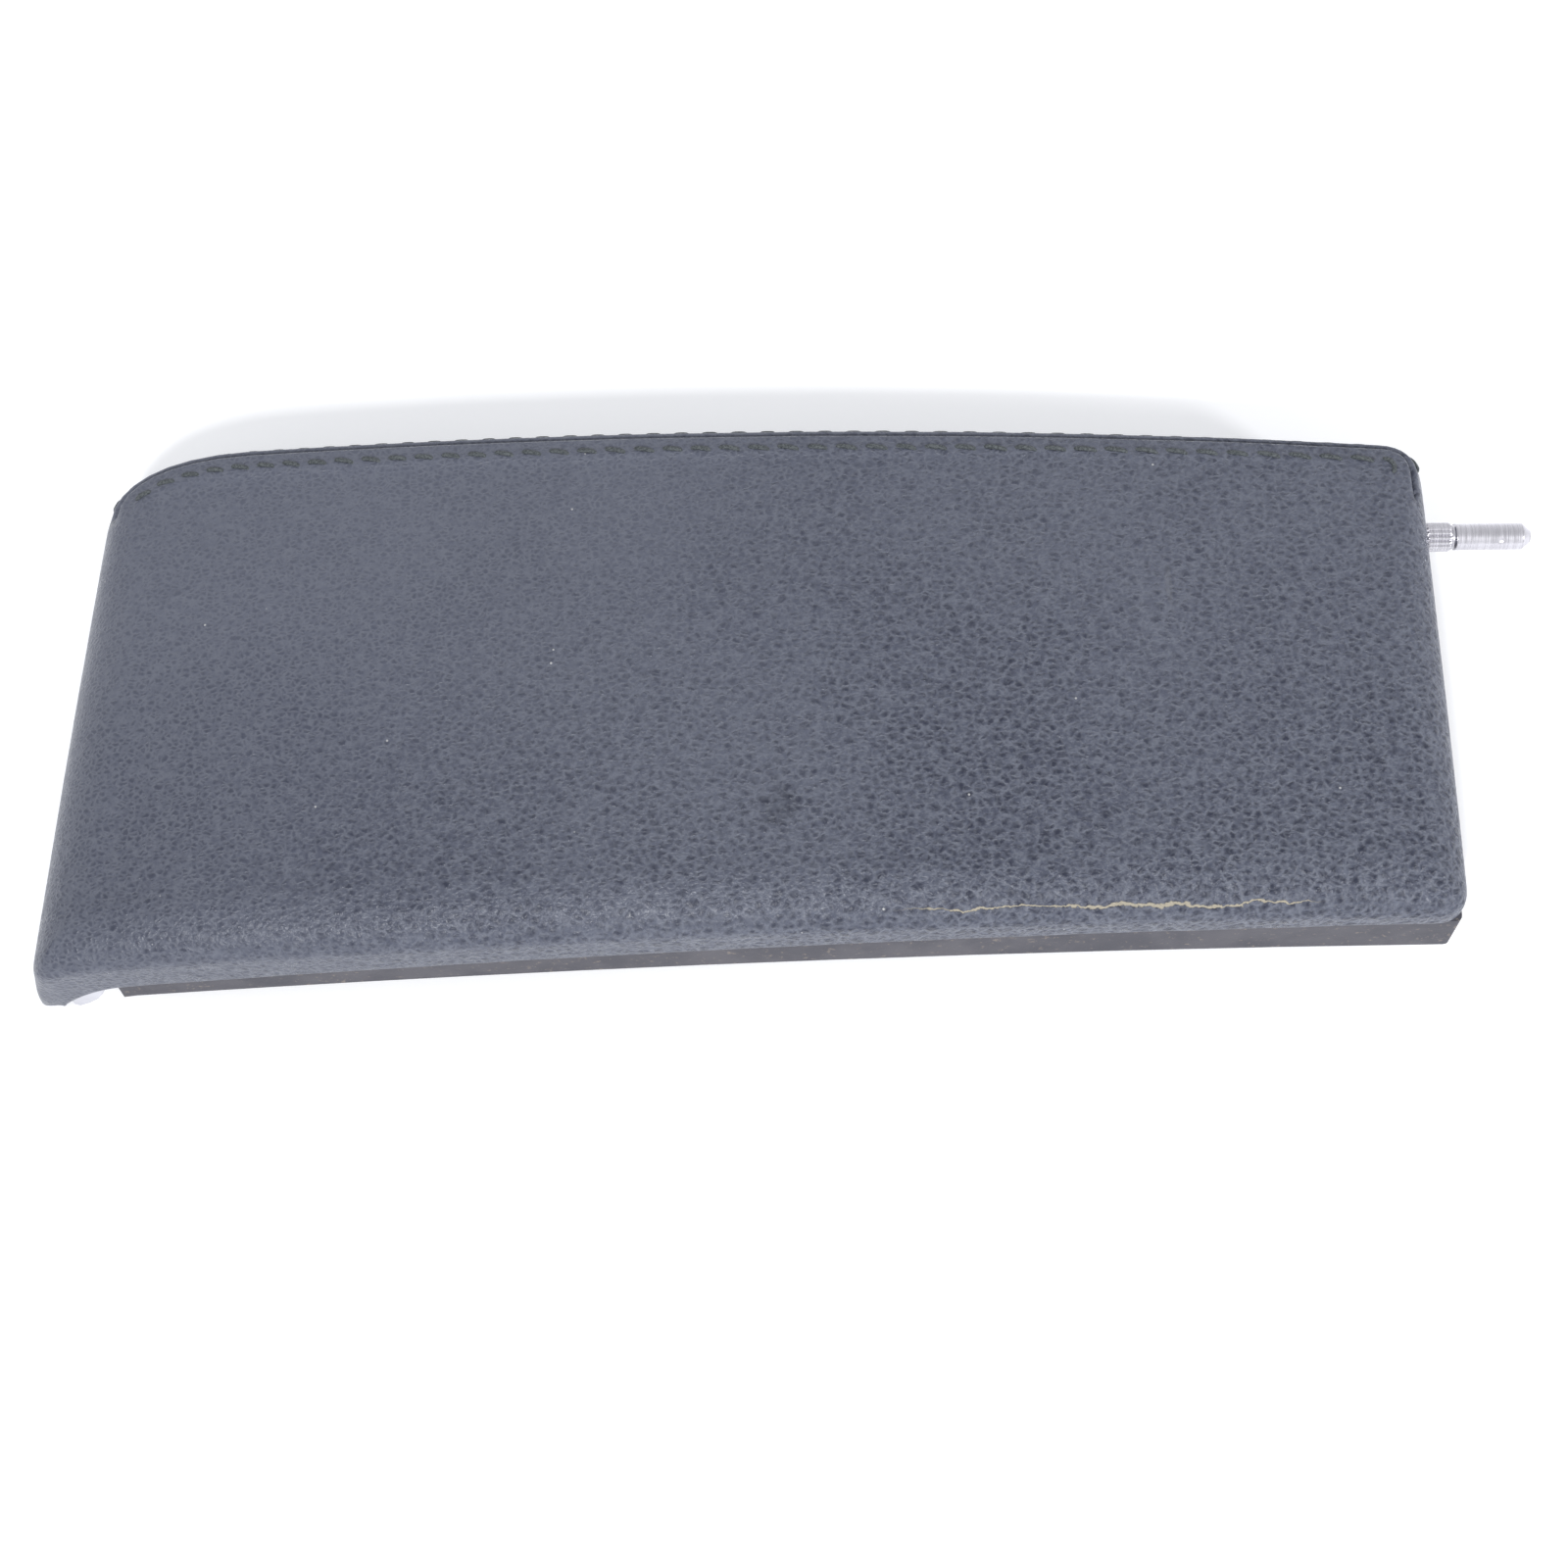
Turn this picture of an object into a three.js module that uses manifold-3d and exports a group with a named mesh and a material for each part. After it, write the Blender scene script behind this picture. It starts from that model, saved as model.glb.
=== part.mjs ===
// One wing of a split armrest lid for a car's centre console: a leather pad on a plastic carrier,
// with a hinge pin along one long side and a release lever under the front nose.
//
// Millimetres, +Z up. +X points to the rear along the hinge axis, +Y to the outer (hinge) side.
// The origin is the centre of the hinge pin's rear end face.

import * as THREE from 'three';
import { mergeVertices } from 'three/addons/utils/BufferGeometryUtils.js';
import Module from 'manifold-3d';

const wasm = await Module();
wasm.setup();

// ---- Driving dimensions -------------------------------------------------------------------

// The lid's outer skin
const lidLength = 300;
const frontWidth = 125.5;
const rearWidth = 116;
const lidThickness = 26.4;
const archRise = 5.8;          // the middle stands this much higher than the two ends
const sideBow = 2.6;           // the outer side bulges this much at mid-length
const topCrown = 1.5;          // the top falls this much towards both long sides
const noseDroop = 4;           // the top falls this much more towards the front
const noseLength = 34;
const noseDip = 6;             // the front edge hangs this much below the underside
const noseDipLength = 19;
const frontRake = 7.5;         // the split side reaches this much further forward
const rearRake = -0.5;         // and stops this much short at the rear
const edgeRadius = 8;
const footRadius = 1.2;
const cornerRadii = { frontOuter: 24, rearOuter: 10, rearSplit: 6.5, frontSplit: 5 };

// Layers, from the outside in
const clearance = 0.3;
const leatherWall = 1.4;
const foamWall = 5;
const carrierWall = 2.6;
const flangeThickness = 2.9;
const hemFront = 0.265;        // height of the leather's lower edge, as a share of the thickness
const hemRear = 0.549;
const hemNoseFall = 12;        // the hem falls towards the nose by up to this much
const sidePanelWrap = 24;      // how far the side panel reaches round both corners
const seamInset = 3;

// Stitching
const threadRadius = 0.4;
const stitchStandOff = 1.1;
const topRowAngle = 84;        // degrees up the rounded edge, 90 being the top
const sideRowAngle = 22;

// Nose
const noseHook = 7;            // the leather turns under the nose this far
const coverSetback = 17;       // the lower cover starts this far behind the front

// Lower cover
const coverInset = 0.6;
const coverWall = 2.4;
const coverRearRadius = 1.5;     // its rear corner on the split side is nearly square

// Hinge
const hingeInset = 22;         // from the outer side to the hinge axis
const hingeDepth = 13;         // from the top, before it arches down, to the hinge axis
const pinRadius = 3;
const pinReach = 24.3;
const pinInside = 46;
const pinChamfer = 1.6;
const knurlLength = 5.8;
const knurlTeeth = 16;
const knurlDepth = 0.35;
const neckLength = 0.8;
const neckDepth = 0.3;
const runningGap = 0.1;
const bushWall = 1.9;
const rearBushLength = 30;
const frontBushLength = 16;
const bearingMargin = 2.6;
const clipThickness = 0.9;
const clipWall = 1.7;

// Release lever
const leverLength = 80;
const leverInset = 2.6;        // from the split side to the lever's end
const leverStart = 8.6;
const leverDepth = 6.4;
const leverTop = 6.4;          // from the underside at the front end to the lever's upper face
const leverHang = 3.4;         // the lever's lip hangs this much below that underside
const leverTravel = 3.2;       // room above the lever for its lift
const armSpread = 26;
const armWidth = 5;
const pivotSetback = 24;
const pivotHeight = 7.2;       // from the underside at the front end
const pivotRadius = 1.5;
const lugWidth = 5;
const springRadius = 3;
const springWire = 0.35;
const springTurns = 4;
const springPegHeight = 1.6;
const hookWidth = 8;

// Fasteners and stops
const screwHeadRadius = 3.2;
const screwHeadHeight = 2.2;
const screwRadius = 1.5;
const screwLength = 11;
const bossRadius = 4.4;
const stopRadius = 5;
const stopHeight = 3.2;
const stopStemRadius = 2;
const stopMargin = 8;          // from the lever's pivot to the front stops' edge

// ---- Values worked out from them ----------------------------------------------------------

const rearX = -pinReach;
const frontX = rearX - lidLength;
const middleX = (frontX + rearX) / 2;
const outerY = hingeInset;
const splitY = outerY - (frontWidth + rearWidth) / 2;
const middleY = (outerY + splitY) / 2;
const undersideZ = archRise + hingeDepth - lidThickness;
const foamInset = leatherWall + clearance;
const carrierInset = foamInset + foamWall + clearance;
const cavityInset = carrierInset + carrierWall;
const rearBushX = rearX - cavityInset - rearBushLength;
const frontBlockEnd = frontX + cavityInset + frontBushLength;
const frontFaceX = frontX + frontRake / 2 + 1;     // the front bush ends just inside the raked front
const stopSetback = pivotSetback + stopMargin + stopRadius;
const frontSlope = frontRake / frontWidth;

const along = (x) => (x - middleX) / (lidLength / 2);
const underside = (x) => undersideZ - archRise * along(x) ** 2;
const fade = (distance, length) => Math.max(0, 1 - distance / length) ** 2;

function hem(x) {
  const fall = hemNoseFall * fade(x - frontX + frontRake / 2, coverSetback);
  const share = hemFront + (hemRear - hemFront) * (along(x) + 1) / 2;
  return lidThickness * share - fall;
}

// Bends a point given by its height above the underside into the arched, crowned lid.
function bend(x, y, height) {
  const share = height / lidThickness;
  const across = (y - middleY) / (outerY - middleY);
  const setback = x - frontX - (y - middleY) * frontSlope;
  const drop = topCrown * across ** 2 + noseDroop * fade(setback, noseLength);
  const dip = noseDip * fade(setback, noseDipLength);
  return new THREE.Vector3(x, y, underside(x) + height - share * drop - (1 - share) * dip);
}

// ---- Solids -------------------------------------------------------------------------------

function toSolid(geometry) {
  const bare = geometry.clone();
  bare.deleteAttribute('normal');
  bare.deleteAttribute('uv');
  const merged = mergeVertices(bare, 1e-4);
  const index = Array.from(merged.index.array);
  const triangles = [];
  for (let i = 0; i < index.length; i += 3) {
    const [a, b, c] = index.slice(i, i + 3);
    if (a !== b && b !== c && c !== a) triangles.push(a, b, c);
  }
  return new wasm.Manifold(new wasm.Mesh({
    numProp: 3,
    vertProperties: new Float32Array(merged.attributes.position.array),
    triVerts: new Uint32Array(triangles),
  }));
}

function toGeometry(solid) {
  const mesh = solid.getMesh();
  const geometry = new THREE.BufferGeometry();
  geometry.setAttribute('position', new THREE.BufferAttribute(mesh.vertProperties, 3));
  geometry.setIndex(new THREE.BufferAttribute(mesh.triVerts, 1));
  geometry.computeVertexNormals();
  return geometry;
}

const join = (solids) => solids.reduce((sum, solid) => sum.add(solid));

function boxSolid([x0, y0, z0], [x1, y1, z1]) {
  const box = new THREE.BoxGeometry(x1 - x0, y1 - y0, z1 - z0);
  return toSolid(box.translate((x0 + x1) / 2, (y0 + y1) / 2, (z0 + z1) / 2));
}

// A cylinder along X, Y or Z from one end to the other.
function rodSolid(axis, radius, from, to, [a, b], segments = 24) {
  const rod = new THREE.CylinderGeometry(radius, radius, to - from, segments);
  const middle = (from + to) / 2;
  if (axis === 'x') rod.rotateZ(-Math.PI / 2).translate(middle, a, b);
  if (axis === 'y') rod.translate(a, middle, b);
  if (axis === 'z') rod.rotateX(Math.PI / 2).translate(a, b, middle);
  return toSolid(rod);
}

// ---- The lid's outline and body -----------------------------------------------------------

const sideStations = 13;
const stationShare = (k, stations) => (k / stations) ** 1.6;   // closer together near the nose
const endStations = 3;
const cornerSteps = 4;
const edgeSteps = 4;

// Points round the plan outline, `inset` inside the skin. Each one names its station on the spine.
function outline(inset, radii = cornerRadii) {
  const half = (frontWidth - rearWidth) / 4;
  const corners = {
    frontOuter: [frontX + frontRake / 2 + inset, outerY - inset],
    rearOuter: [rearX - inset, outerY - inset],
    rearSplit: [rearX + rearRake - inset, splitY + half * 2 + inset],
    frontSplit: [frontX - frontRake / 2 + inset, splitY - half * 2 + inset],
  };
  const names = Object.keys(corners);
  const bow = (x, y) => {
    const outerShare = Math.max(0, (y - middleY) / (outerY - middleY));
    return new THREE.Vector2(x, y - sideBow * outerShare * along(x) ** 2);
  };
  const points = [];
  names.forEach((name, i) => {
    const from = new THREE.Vector2(...corners[name]);
    const to = new THREE.Vector2(...corners[names[(i + 1) % 4]]);
    const after = new THREE.Vector2(...corners[names[(i + 2) % 4]]);
    const startRadius = Math.max(radii[name] - inset, 0.8);
    const endRadius = Math.max(radii[names[(i + 1) % 4]] - inset, 0.8);
    const direction = to.clone().sub(from).normalize();
    const start = from.clone().addScaledVector(direction, startRadius);
    const end = to.clone().addScaledVector(direction, -endRadius);
    const turn = to.clone().addScaledVector(after.sub(to).normalize(), endRadius);
    const isLong = i % 2 === 0;
    const stations = isLong ? sideStations : endStations;
    for (let k = 0; k <= stations; k += 1) {
      const share = [stationShare(k, stations), k / stations, 1 - stationShare(stations - k, stations),
        k / stations][i];
      const p = start.clone().lerp(end, share);
      const spine = [k, sideStations, sideStations - k, 0][i];
      points.push({ place: bow(p.x, p.y), spine });
    }
    const corner = new THREE.QuadraticBezierCurve(end, to, turn).getPoints(cornerSteps);
    for (const p of corner.slice(1, -1)) {
      points.push({ place: bow(p.x, p.y), spine: [sideStations, sideStations, 0, 0][i] });
    }
  });
  return points;
}

// The outline drawn in to its spine, which closes a face over the whole lid.
function spineOf(points) {
  const sums = Array.from({ length: sideStations + 1 }, () => new THREE.Vector2());
  const outer = points.slice(0, sideStations + 1);
  const splitStart = sideStations + 1 + endStations + 1 + 2 * (cornerSteps - 1);
  const split = points.slice(splitStart, splitStart + sideStations + 1);
  sums.forEach((sum, k) => sum.copy(outer[k].place).lerp(split[sideStations - k].place, 0.5));
  return points.map(({ spine }) => ({ place: sums[spine], spine }));
}

function towards(points, target, share) {
  return points.map((p, i) => ({ place: p.place.clone().lerp(target[i].place, share) }));
}

// Everything inside the skin, `inset` from its sides, `depth` below its top and `floor` above the
// underside.
function lidSolid(inset, floor, { depth = inset, radii = cornerRadii } = {}) {
  const radius = Math.max(edgeRadius - inset, 1);
  const foot = Math.max(footRadius - inset, 0.3);
  const top = lidThickness - depth;
  const bottomRing = outline(inset + foot, radii);
  const topRing = outline(inset + radius, radii);
  const layers = [
    [spineOf(bottomRing), floor],
    [bottomRing, floor],
    [outline(inset, radii), floor + foot],
  ];
  for (let i = 0; i <= edgeSteps; i += 1) {
    const angle = (i / edgeSteps) * Math.PI / 2;
    const ring = outline(inset + radius * (1 - Math.cos(angle)), radii);
    layers.push([ring, top - radius * (1 - Math.sin(angle))]);
  }
  layers.push([towards(topRing, spineOf(topRing), 0.5), top]);
  layers.push([spineOf(topRing), top]);
  return toSolid(loft(layers));
}

function loft(layers) {
  const count = layers[0][0].length;
  const positions = layers.flatMap(([ring, height]) => (
    ring.flatMap(({ place }) => bend(place.x, place.y, height).toArray())
  ));
  const index = [];
  for (let layer = 0; layer + 1 < layers.length; layer += 1) {
    for (let i = 0; i < count; i += 1) {
      const a = layer * count + i;
      const b = layer * count + (i + 1) % count;
      index.push(a, a + count, b, b, a + count, b + count);
    }
  }
  const geometry = new THREE.BufferGeometry();
  geometry.setAttribute('position', new THREE.Float32BufferAttribute(positions, 3));
  geometry.setIndex(index);
  return geometry;
}

// Everything between two heights above the underside, each a function of x.
function slab(low, high) {
  const steps = sideStations * 2;
  const stations = Array.from({ length: steps + 1 }, (_, k) => (
    frontX - 10 + (lidLength + 20) * stationShare(k, steps)
  ));
  const shape = new THREE.Shape([
    ...stations.map((x) => new THREE.Vector2(x, underside(x) + low(x))),
    ...stations.toReversed().map((x) => new THREE.Vector2(x, underside(x) + high(x))),
  ]);
  const depth = frontWidth * 2;
  const geometry = new THREE.ExtrudeGeometry(shape, { depth, bevelEnabled: false });
  return toSolid(geometry.rotateX(Math.PI / 2).translate(0, middleY + depth / 2, 0));
}

// Everything in front of a line `setback` behind the raked front, and everything behind it.
const farAway = lidLength * 2;

function prism(points) {
  const shape = new THREE.Shape(points.map(([x, y]) => new THREE.Vector2(x, y)));
  const geometry = new THREE.ExtrudeGeometry(shape, { depth: 200, bevelEnabled: false });
  return toSolid(geometry.translate(0, 0, -100));
}

function frontOf(setback, reach = -farAway) {
  const x = frontX + setback;
  const lean = 100 * frontSlope;
  return prism([
    [reach, middleY - 100], [x - lean, middleY - 100], [x + lean, middleY + 100], [reach, middleY + 100],
  ]);
}

const behind = (setback) => frontOf(setback, farAway);

const tall = () => lidThickness * 2;
const deep = () => -lidThickness;

// ---- Leather, foam and stitching ----------------------------------------------------------

const pinHole = (radius, fromX, toX) => rodSolid('x', radius, fromX, toX, [0, 0]);
const rearPinHole = () => pinHole(pinRadius + 0.9, rearX - 14, rearX + 10);
const socketRadius = pinRadius + runningGap + bushWall;
const frontPinHole = () => pinHole(socketRadius + clearance, frontX - 10, frontBlockEnd + 1);

function leatherShell() {
  const shell = lidSolid(0, 0).subtract(lidSolid(leatherWall, leatherWall));
  const aboveHem = shell.intersect(slab(hem, tall));
  const hook = shell.intersect(frontOf(noseHook));
  return aboveHem.add(hook).subtract(rearPinHole()).subtract(frontPinHole());
}

// The outer side and the ends of both corners, outside a line `inset` from the skin.
function sideRegion(inset, wrap) {
  const ring = outline(inset).map(({ place }) => [place.x, place.y]);
  const cut = outerY - wrap;
  const strip = prism([
    [-farAway, cut], [farAway, cut], [farAway, outerY + 50], [-farAway, outerY + 50],
  ]);
  return strip.subtract(prism(ring));
}

const leather = leatherShell();
const topPanel = leather.subtract(sideRegion(seamInset + clearance, sidePanelWrap + clearance));
const sidePanel = leather.intersect(sideRegion(seamInset, sidePanelWrap));

function foamPad() {
  const aboveFlange = slab((x) => hem(x) + flangeThickness + clearance, tall);
  const leverSweep = noseRoom(noseHook, leverEnd + 2).intersect(slab(deep, () => leverTop + leverTravel));
  return lidSolid(foamInset, foamInset)
    .subtract(lidSolid(foamInset + foamWall, foamInset))
    .intersect(aboveFlange)
    .subtract(leverSweep)
    .subtract(rearPinHole())
    .subtract(frontPinHole());
}

function stitchRow(angleDegrees) {
  const angle = THREE.MathUtils.degToRad(angleDegrees);
  const reach = edgeRadius + stitchStandOff;
  const inset = edgeRadius - reach * Math.cos(angle);
  const height = lidThickness - edgeRadius + reach * Math.sin(angle);
  const ring = outline(inset);
  const lastCorner = ring.slice(-(cornerSteps - 1));
  const outerSide = ring.slice(0, sideStations + 1 + cornerSteps - 1);
  const corners = [...lastCorner, ...outerSide].map(({ place }) => place);
  const route = corners.slice(1).flatMap((place, i) => [0, 1 / 3, 2 / 3, 1].slice(i ? 1 : 0)
    .map((share) => corners[i].clone().lerp(place, share)))
    .map((place) => bend(place.x, place.y, height));
  const shape = new THREE.Shape();
  shape.absarc(0, 0, threadRadius, 0, Math.PI * 2);
  return new THREE.ExtrudeGeometry(shape, {
    extrudePath: new THREE.CatmullRomCurve3(route),
    steps: route.length,
    curveSegments: 3,
    bevelEnabled: false,
  });
}

// ---- Carrier ------------------------------------------------------------------------------

const coverScrewPlaces = [
  [frontX + 62, outerY - 22], [middleX, outerY - 17], [rearX - 62, outerY - 17],
  [frontX + stopSetback + stopRadius + screwHeadRadius + 2, splitY + 15], [middleX, splitY + 15],
  [rearX - 14, splitY + 15],
];
const bossFoot = 6;            // height of the carrier bosses above the underside
const underPlate = lidSolid(clearance, -lidThickness, { depth: cavityInset });

function bearingBlock(fromX, toX, room = 0) {
  const half = socketRadius + clearance + bearingMargin + room;
  return boxSolid([fromX, -half, -half], [toX, half, 20]);
}


function carrierFrame() {
  const inside = lidSolid(carrierInset + 0.5, coverWall + clearance);
  const shell = lidSolid(carrierInset, 0).subtract(lidSolid(cavityInset, -5));
  const skirt = shell.intersect(slab(hem, tall));
  const flange = lidSolid(foamInset, foamInset)
    .subtract(lidSolid(cavityInset, -5))
    .intersect(slab(hem, (x) => hem(x) + flangeThickness));
  const lip = lidSolid(foamInset, foamInset)
    .subtract(lidSolid(noseHook - clearance, foamInset))
    .intersect(frontOf(noseHook - clearance))
    .intersect(slab(deep, (x) => hem(x) + flangeThickness));
  const ribs = [-0.46, -0.12, 0.32].map((share) => {
    const x = middleX + share * lidLength / 2;
    return boxSolid([x - 1.1, splitY + 12, -3], [x + 1.1, outerY - 10, 20]).intersect(inside);
  });
  const bosses = coverScrewPlaces.map(([x, y]) => (
    rodSolid('z', bossRadius, underside(x) + bossFoot, 12, [x, y], 16).intersect(inside)
  ));
  const rearBlock = bearingBlock(rearBushX, rearX - carrierInset);
  const frontBlock = bearingBlock(frontX + carrierInset, frontBlockEnd);
  const blocks = [rearBlock, frontBlock].map((block) => block.intersect(inside));
  const solid = join([skirt, flange, lip, ...ribs, ...bosses, ...blocks, ...pivotLugs()]);
  const leverRoom = noseRoom(noseHook, pivotSetback - 5).intersect(underPlate);
  const pilots = coverScrewPlaces.map(([x, y]) => (
    rodSolid('z', screwRadius + 0.2, underside(x), underside(x) + bossFoot + screwLength, [x, y], 16)
  ));
  const holes = [
    pinHole(socketRadius + clearance, rearBushX - 1, rearX + 1),
    pinHole(socketRadius + clearance, frontX - 5, frontBlockEnd + 1),
  ];
  return [leverRoom, ...pilots, ...holes, pivotHole()].reduce((s, cut) => s.subtract(cut), solid);
}

// ---- Release lever, built square to the raked front ---------------------------------------

// In the nose's own frame x runs back from the front edge, y along it and z up, as in the lid.
const noseAngle = -Math.atan(frontSlope);
const leverY = splitY - (frontWidth - rearWidth) / 2 + leverInset + leverLength / 2;
const noseFrame = new THREE.Matrix4()
  .makeRotationZ(noseAngle)
  .setPosition(frontX + (leverY - middleY) * frontSlope, leverY, 0);
const noseFloor = underside(frontX);
const pivotZ = noseFloor + pivotHeight;

function inNose(solid) {
  return toSolid(toGeometry(solid).applyMatrix4(noseFrame));
}

function noseRoom(from, to) {
  const half = leverLength / 2 + 6;
  return inNose(boxSolid([from, -half, noseFloor - 10], [to, half, noseFloor + lidThickness]));
}

const lugY = armSpread + armWidth / 2 + lugWidth / 2 + clearance * 2;

function pivotLugs() {
  const inside = lidSolid(carrierInset + 0.5, coverWall + clearance);
  return [-lugY, lugY].map((y) => {
    const low = [pivotSetback - 4, y - lugWidth / 2, pivotZ - 3];
    const high = [pivotSetback + 4, y + lugWidth / 2, 20];
    return inNose(boxSolid(low, high)).intersect(inside);
  });
}

const pivotReach = lugY + lugWidth / 2;
const pivotHole = () => inNose(
  rodSolid('y', pivotRadius + clearance, -pivotReach - 1, pivotReach + 1, [pivotSetback, pivotZ]),
);
const pivotPin = () => rodSolid('y', pivotRadius, -pivotReach, pivotReach, [pivotSetback, pivotZ]);

function sideShape(points, width, y) {
  const shape = new THREE.Shape(points.map(([x, z]) => new THREE.Vector2(x, z)));
  const geometry = new THREE.ExtrudeGeometry(shape, { depth: width, bevelEnabled: false });
  return toSolid(geometry.rotateX(Math.PI / 2).translate(0, y + width / 2, 0));
}

const leverLow = noseFloor - leverHang;
const leverHigh = noseFloor + leverTop;
const leverEnd = leverStart + leverDepth;
const tailEnd = pivotSetback + 7;

function releaseLever() {
  const bar = new THREE.Shape();
  bar.moveTo(leverStart, leverHigh);
  bar.lineTo(leverStart, leverLow + 1.5);
  bar.quadraticCurveTo(leverStart, leverLow, leverStart + 1.5, leverLow);
  bar.quadraticCurveTo(leverEnd - 1.4, leverLow + 1.6, leverEnd, leverHigh - 1.6);
  bar.lineTo(leverEnd, leverHigh);
  const barGeometry = new THREE.ExtrudeGeometry(bar, {
    depth: leverLength, bevelEnabled: false, curveSegments: 6,
  });
  const barSolid = toSolid(barGeometry.rotateX(Math.PI / 2).translate(0, leverLength / 2, 0));
  const armPoints = [
    [leverEnd - 2, leverHigh - 2.4], [pivotSetback - 3, pivotZ - 2.4], [pivotSetback + 3, pivotZ - 2.4],
    [pivotSetback + 3, pivotZ + 2.4], [pivotSetback - 3, pivotZ + 2.4], [leverEnd - 2, leverHigh - 0.2],
  ];
  const arms = [-armSpread, armSpread].map((y) => sideShape(armPoints, armWidth, y));
  const web = boxSolid(
    [pivotSetback + 2, -armSpread, pivotZ - 1.2], [pivotSetback + 5, armSpread, pivotZ + 1.8],
  );
  const spindle = rodSolid(
    'y', pivotRadius + runningGap, -armSpread - armWidth, armSpread + armWidth, [pivotSetback, pivotZ],
  );
  return join([barSolid, springPeg(), ...arms, web]).subtract(spindle);
}

// The hook hangs behind the lever's web and points to the rear.
function latchHook() {
  const x = pivotSetback + 5 + clearance;
  return sideShape([
    [x, pivotZ + 1.8], [x, pivotZ - 3.2], [x + 4, pivotZ - 2.4], [x + 1.6, pivotZ - 1],
    [x + 1.6, pivotZ + 1.8],
  ], hookWidth, 0);
}

const springX = leverStart + leverDepth / 2;

// The spring reaches up to the lowest point of the plate above it.
function plateAboveSpring() {
  const column = rodSolid('z', springRadius + springWire, leverHigh, lidThickness, [springX, 0]);
  return inNose(column).subtract(underPlate).boundingBox().min[2];
}

const springTop = plateAboveSpring() - clearance;
const springBottom = leverHigh + clearance;
const springPeg = () => rodSolid(
  'z', springRadius - springWire - clearance, leverHigh - 1, leverHigh + springPegHeight, [springX, 0], 16,
);

function leverSpring() {
  const rise = springTop - springBottom - springWire * 2;
  const helix = new THREE.Curve();
  helix.getPoint = (t, target = new THREE.Vector3()) => {
    const angle = t * springTurns * Math.PI * 2;
    const z = springBottom + springWire + rise * t;
    return target.set(springX + springRadius * Math.cos(angle), springRadius * Math.sin(angle), z);
  };
  const wire = new THREE.Shape();
  wire.absarc(0, 0, springWire, 0, Math.PI * 2);
  return new THREE.ExtrudeGeometry(wire, {
    extrudePath: helix, steps: springTurns * 14, curveSegments: 3, bevelEnabled: false,
  });
}

// ---- Lower cover --------------------------------------------------------------------------

const strikerSlot = { from: pivotSetback + 3, to: pivotSetback + 18, half: 8 };
const counterbore = screwHeadHeight + 0.8;

function lowerCover() {
  const radii = { ...cornerRadii, rearSplit: coverRearRadius + coverInset };
  const pan = lidSolid(coverInset, 0, { radii }).intersect(behind(coverSetback));
  const room = lidSolid(coverInset + coverWall, coverWall).intersect(behind(coverSetback + coverWall));
  const bosses = coverScrewPlaces.map(([x, y]) => (
    rodSolid('z', screwHeadRadius + 2, underside(x), underside(x) + bossFoot - clearance, [x, y], 20)
      .intersect(slab(() => 0.5, tall))
  ));
  const tray = join([
    pan.subtract(room).intersect(slab(deep, (x) => hem(x) - clearance)), ...bosses,
  ]);
  const cuts = coverScrewPlaces.flatMap(([x, y]) => [
    rodSolid('z', screwHeadRadius + 0.4, underside(x) - 5, underside(x) + counterbore, [x, y], 20),
    rodSolid('z', screwRadius + 0.4, underside(x) - 5, underside(x) + bossFoot + 5, [x, y], 16),
  ]);
  const slot = inNose(boxSolid(
    [strikerSlot.from, -strikerSlot.half, noseFloor - 10],
    [strikerSlot.to, strikerSlot.half, noseFloor + 6],
  ));
  const leverRoom = inNose(boxSolid(
    [leverEnd, -pivotReach - 1, noseFloor + coverWall + 1.4],
    [tailEnd + 6, pivotReach + 1, noseFloor + lidThickness],
  ));
  const stems = stopPlaces.map(([x, y]) => (
    rodSolid('z', stopStemRadius + 0.4, underside(x) - 5, underside(x) + 5, [x, y], 16)
  ));
  const blockRoom = bearingBlock(frontX, frontBlockEnd + clearance, clearance);
  const bushRoom = pinHole(socketRadius + clearance, rearBushX - 1, rearX - cavityInset);
  const all = [...cuts, ...stems, slot, leverRoom, blockRoom, bushRoom, rearPinHole()];
  return all.reduce((solid, cut) => solid.subtract(cut), tray);
}

// The stops stand at equal distances from mid-length, so that they all reach the same plane.
const stopPlaces = [frontX + stopSetback, rearX - stopSetback].flatMap((x) => (
  [outerY - 9, splitY + 14].map((y) => [x, y])
));

// ---- Turned pieces ------------------------------------------------------------------------

// Turns a profile of [radius, along] points about Z.
function turned(profile, segments) {
  return new THREE.LatheGeometry(profile.map(([r, z]) => new THREE.Vector2(r, z)), segments);
}

function coverScrew() {
  const head = screwHeadRadius;
  return turned([
    [0, -screwHeadHeight], [head - 0.6, -screwHeadHeight], [head, -screwHeadHeight + 0.7], [head, 0],
    [screwRadius, 0], [screwRadius, screwLength - 1], [0.4, screwLength], [0, screwLength],
  ], 12).rotateX(Math.PI / 2);
}

function bumpStop() {
  return turned([
    [0, -stopHeight], [stopRadius - 1, -stopHeight], [stopRadius, -stopHeight + 1], [stopRadius, -0.7],
    [stopStemRadius, -0.7], [stopStemRadius, coverWall + 1.6], [0, coverWall + 1.6],
  ], 20).rotateX(Math.PI / 2);
}

function bush(length) {
  const bore = pinRadius + runningGap;
  const outer = bore + bushWall;
  return turned([
    [bore, 0], [outer, 0], [outer, length], [bore, length], [bore, 0],
  ], 32).rotateZ(-Math.PI / 2);
}

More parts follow.
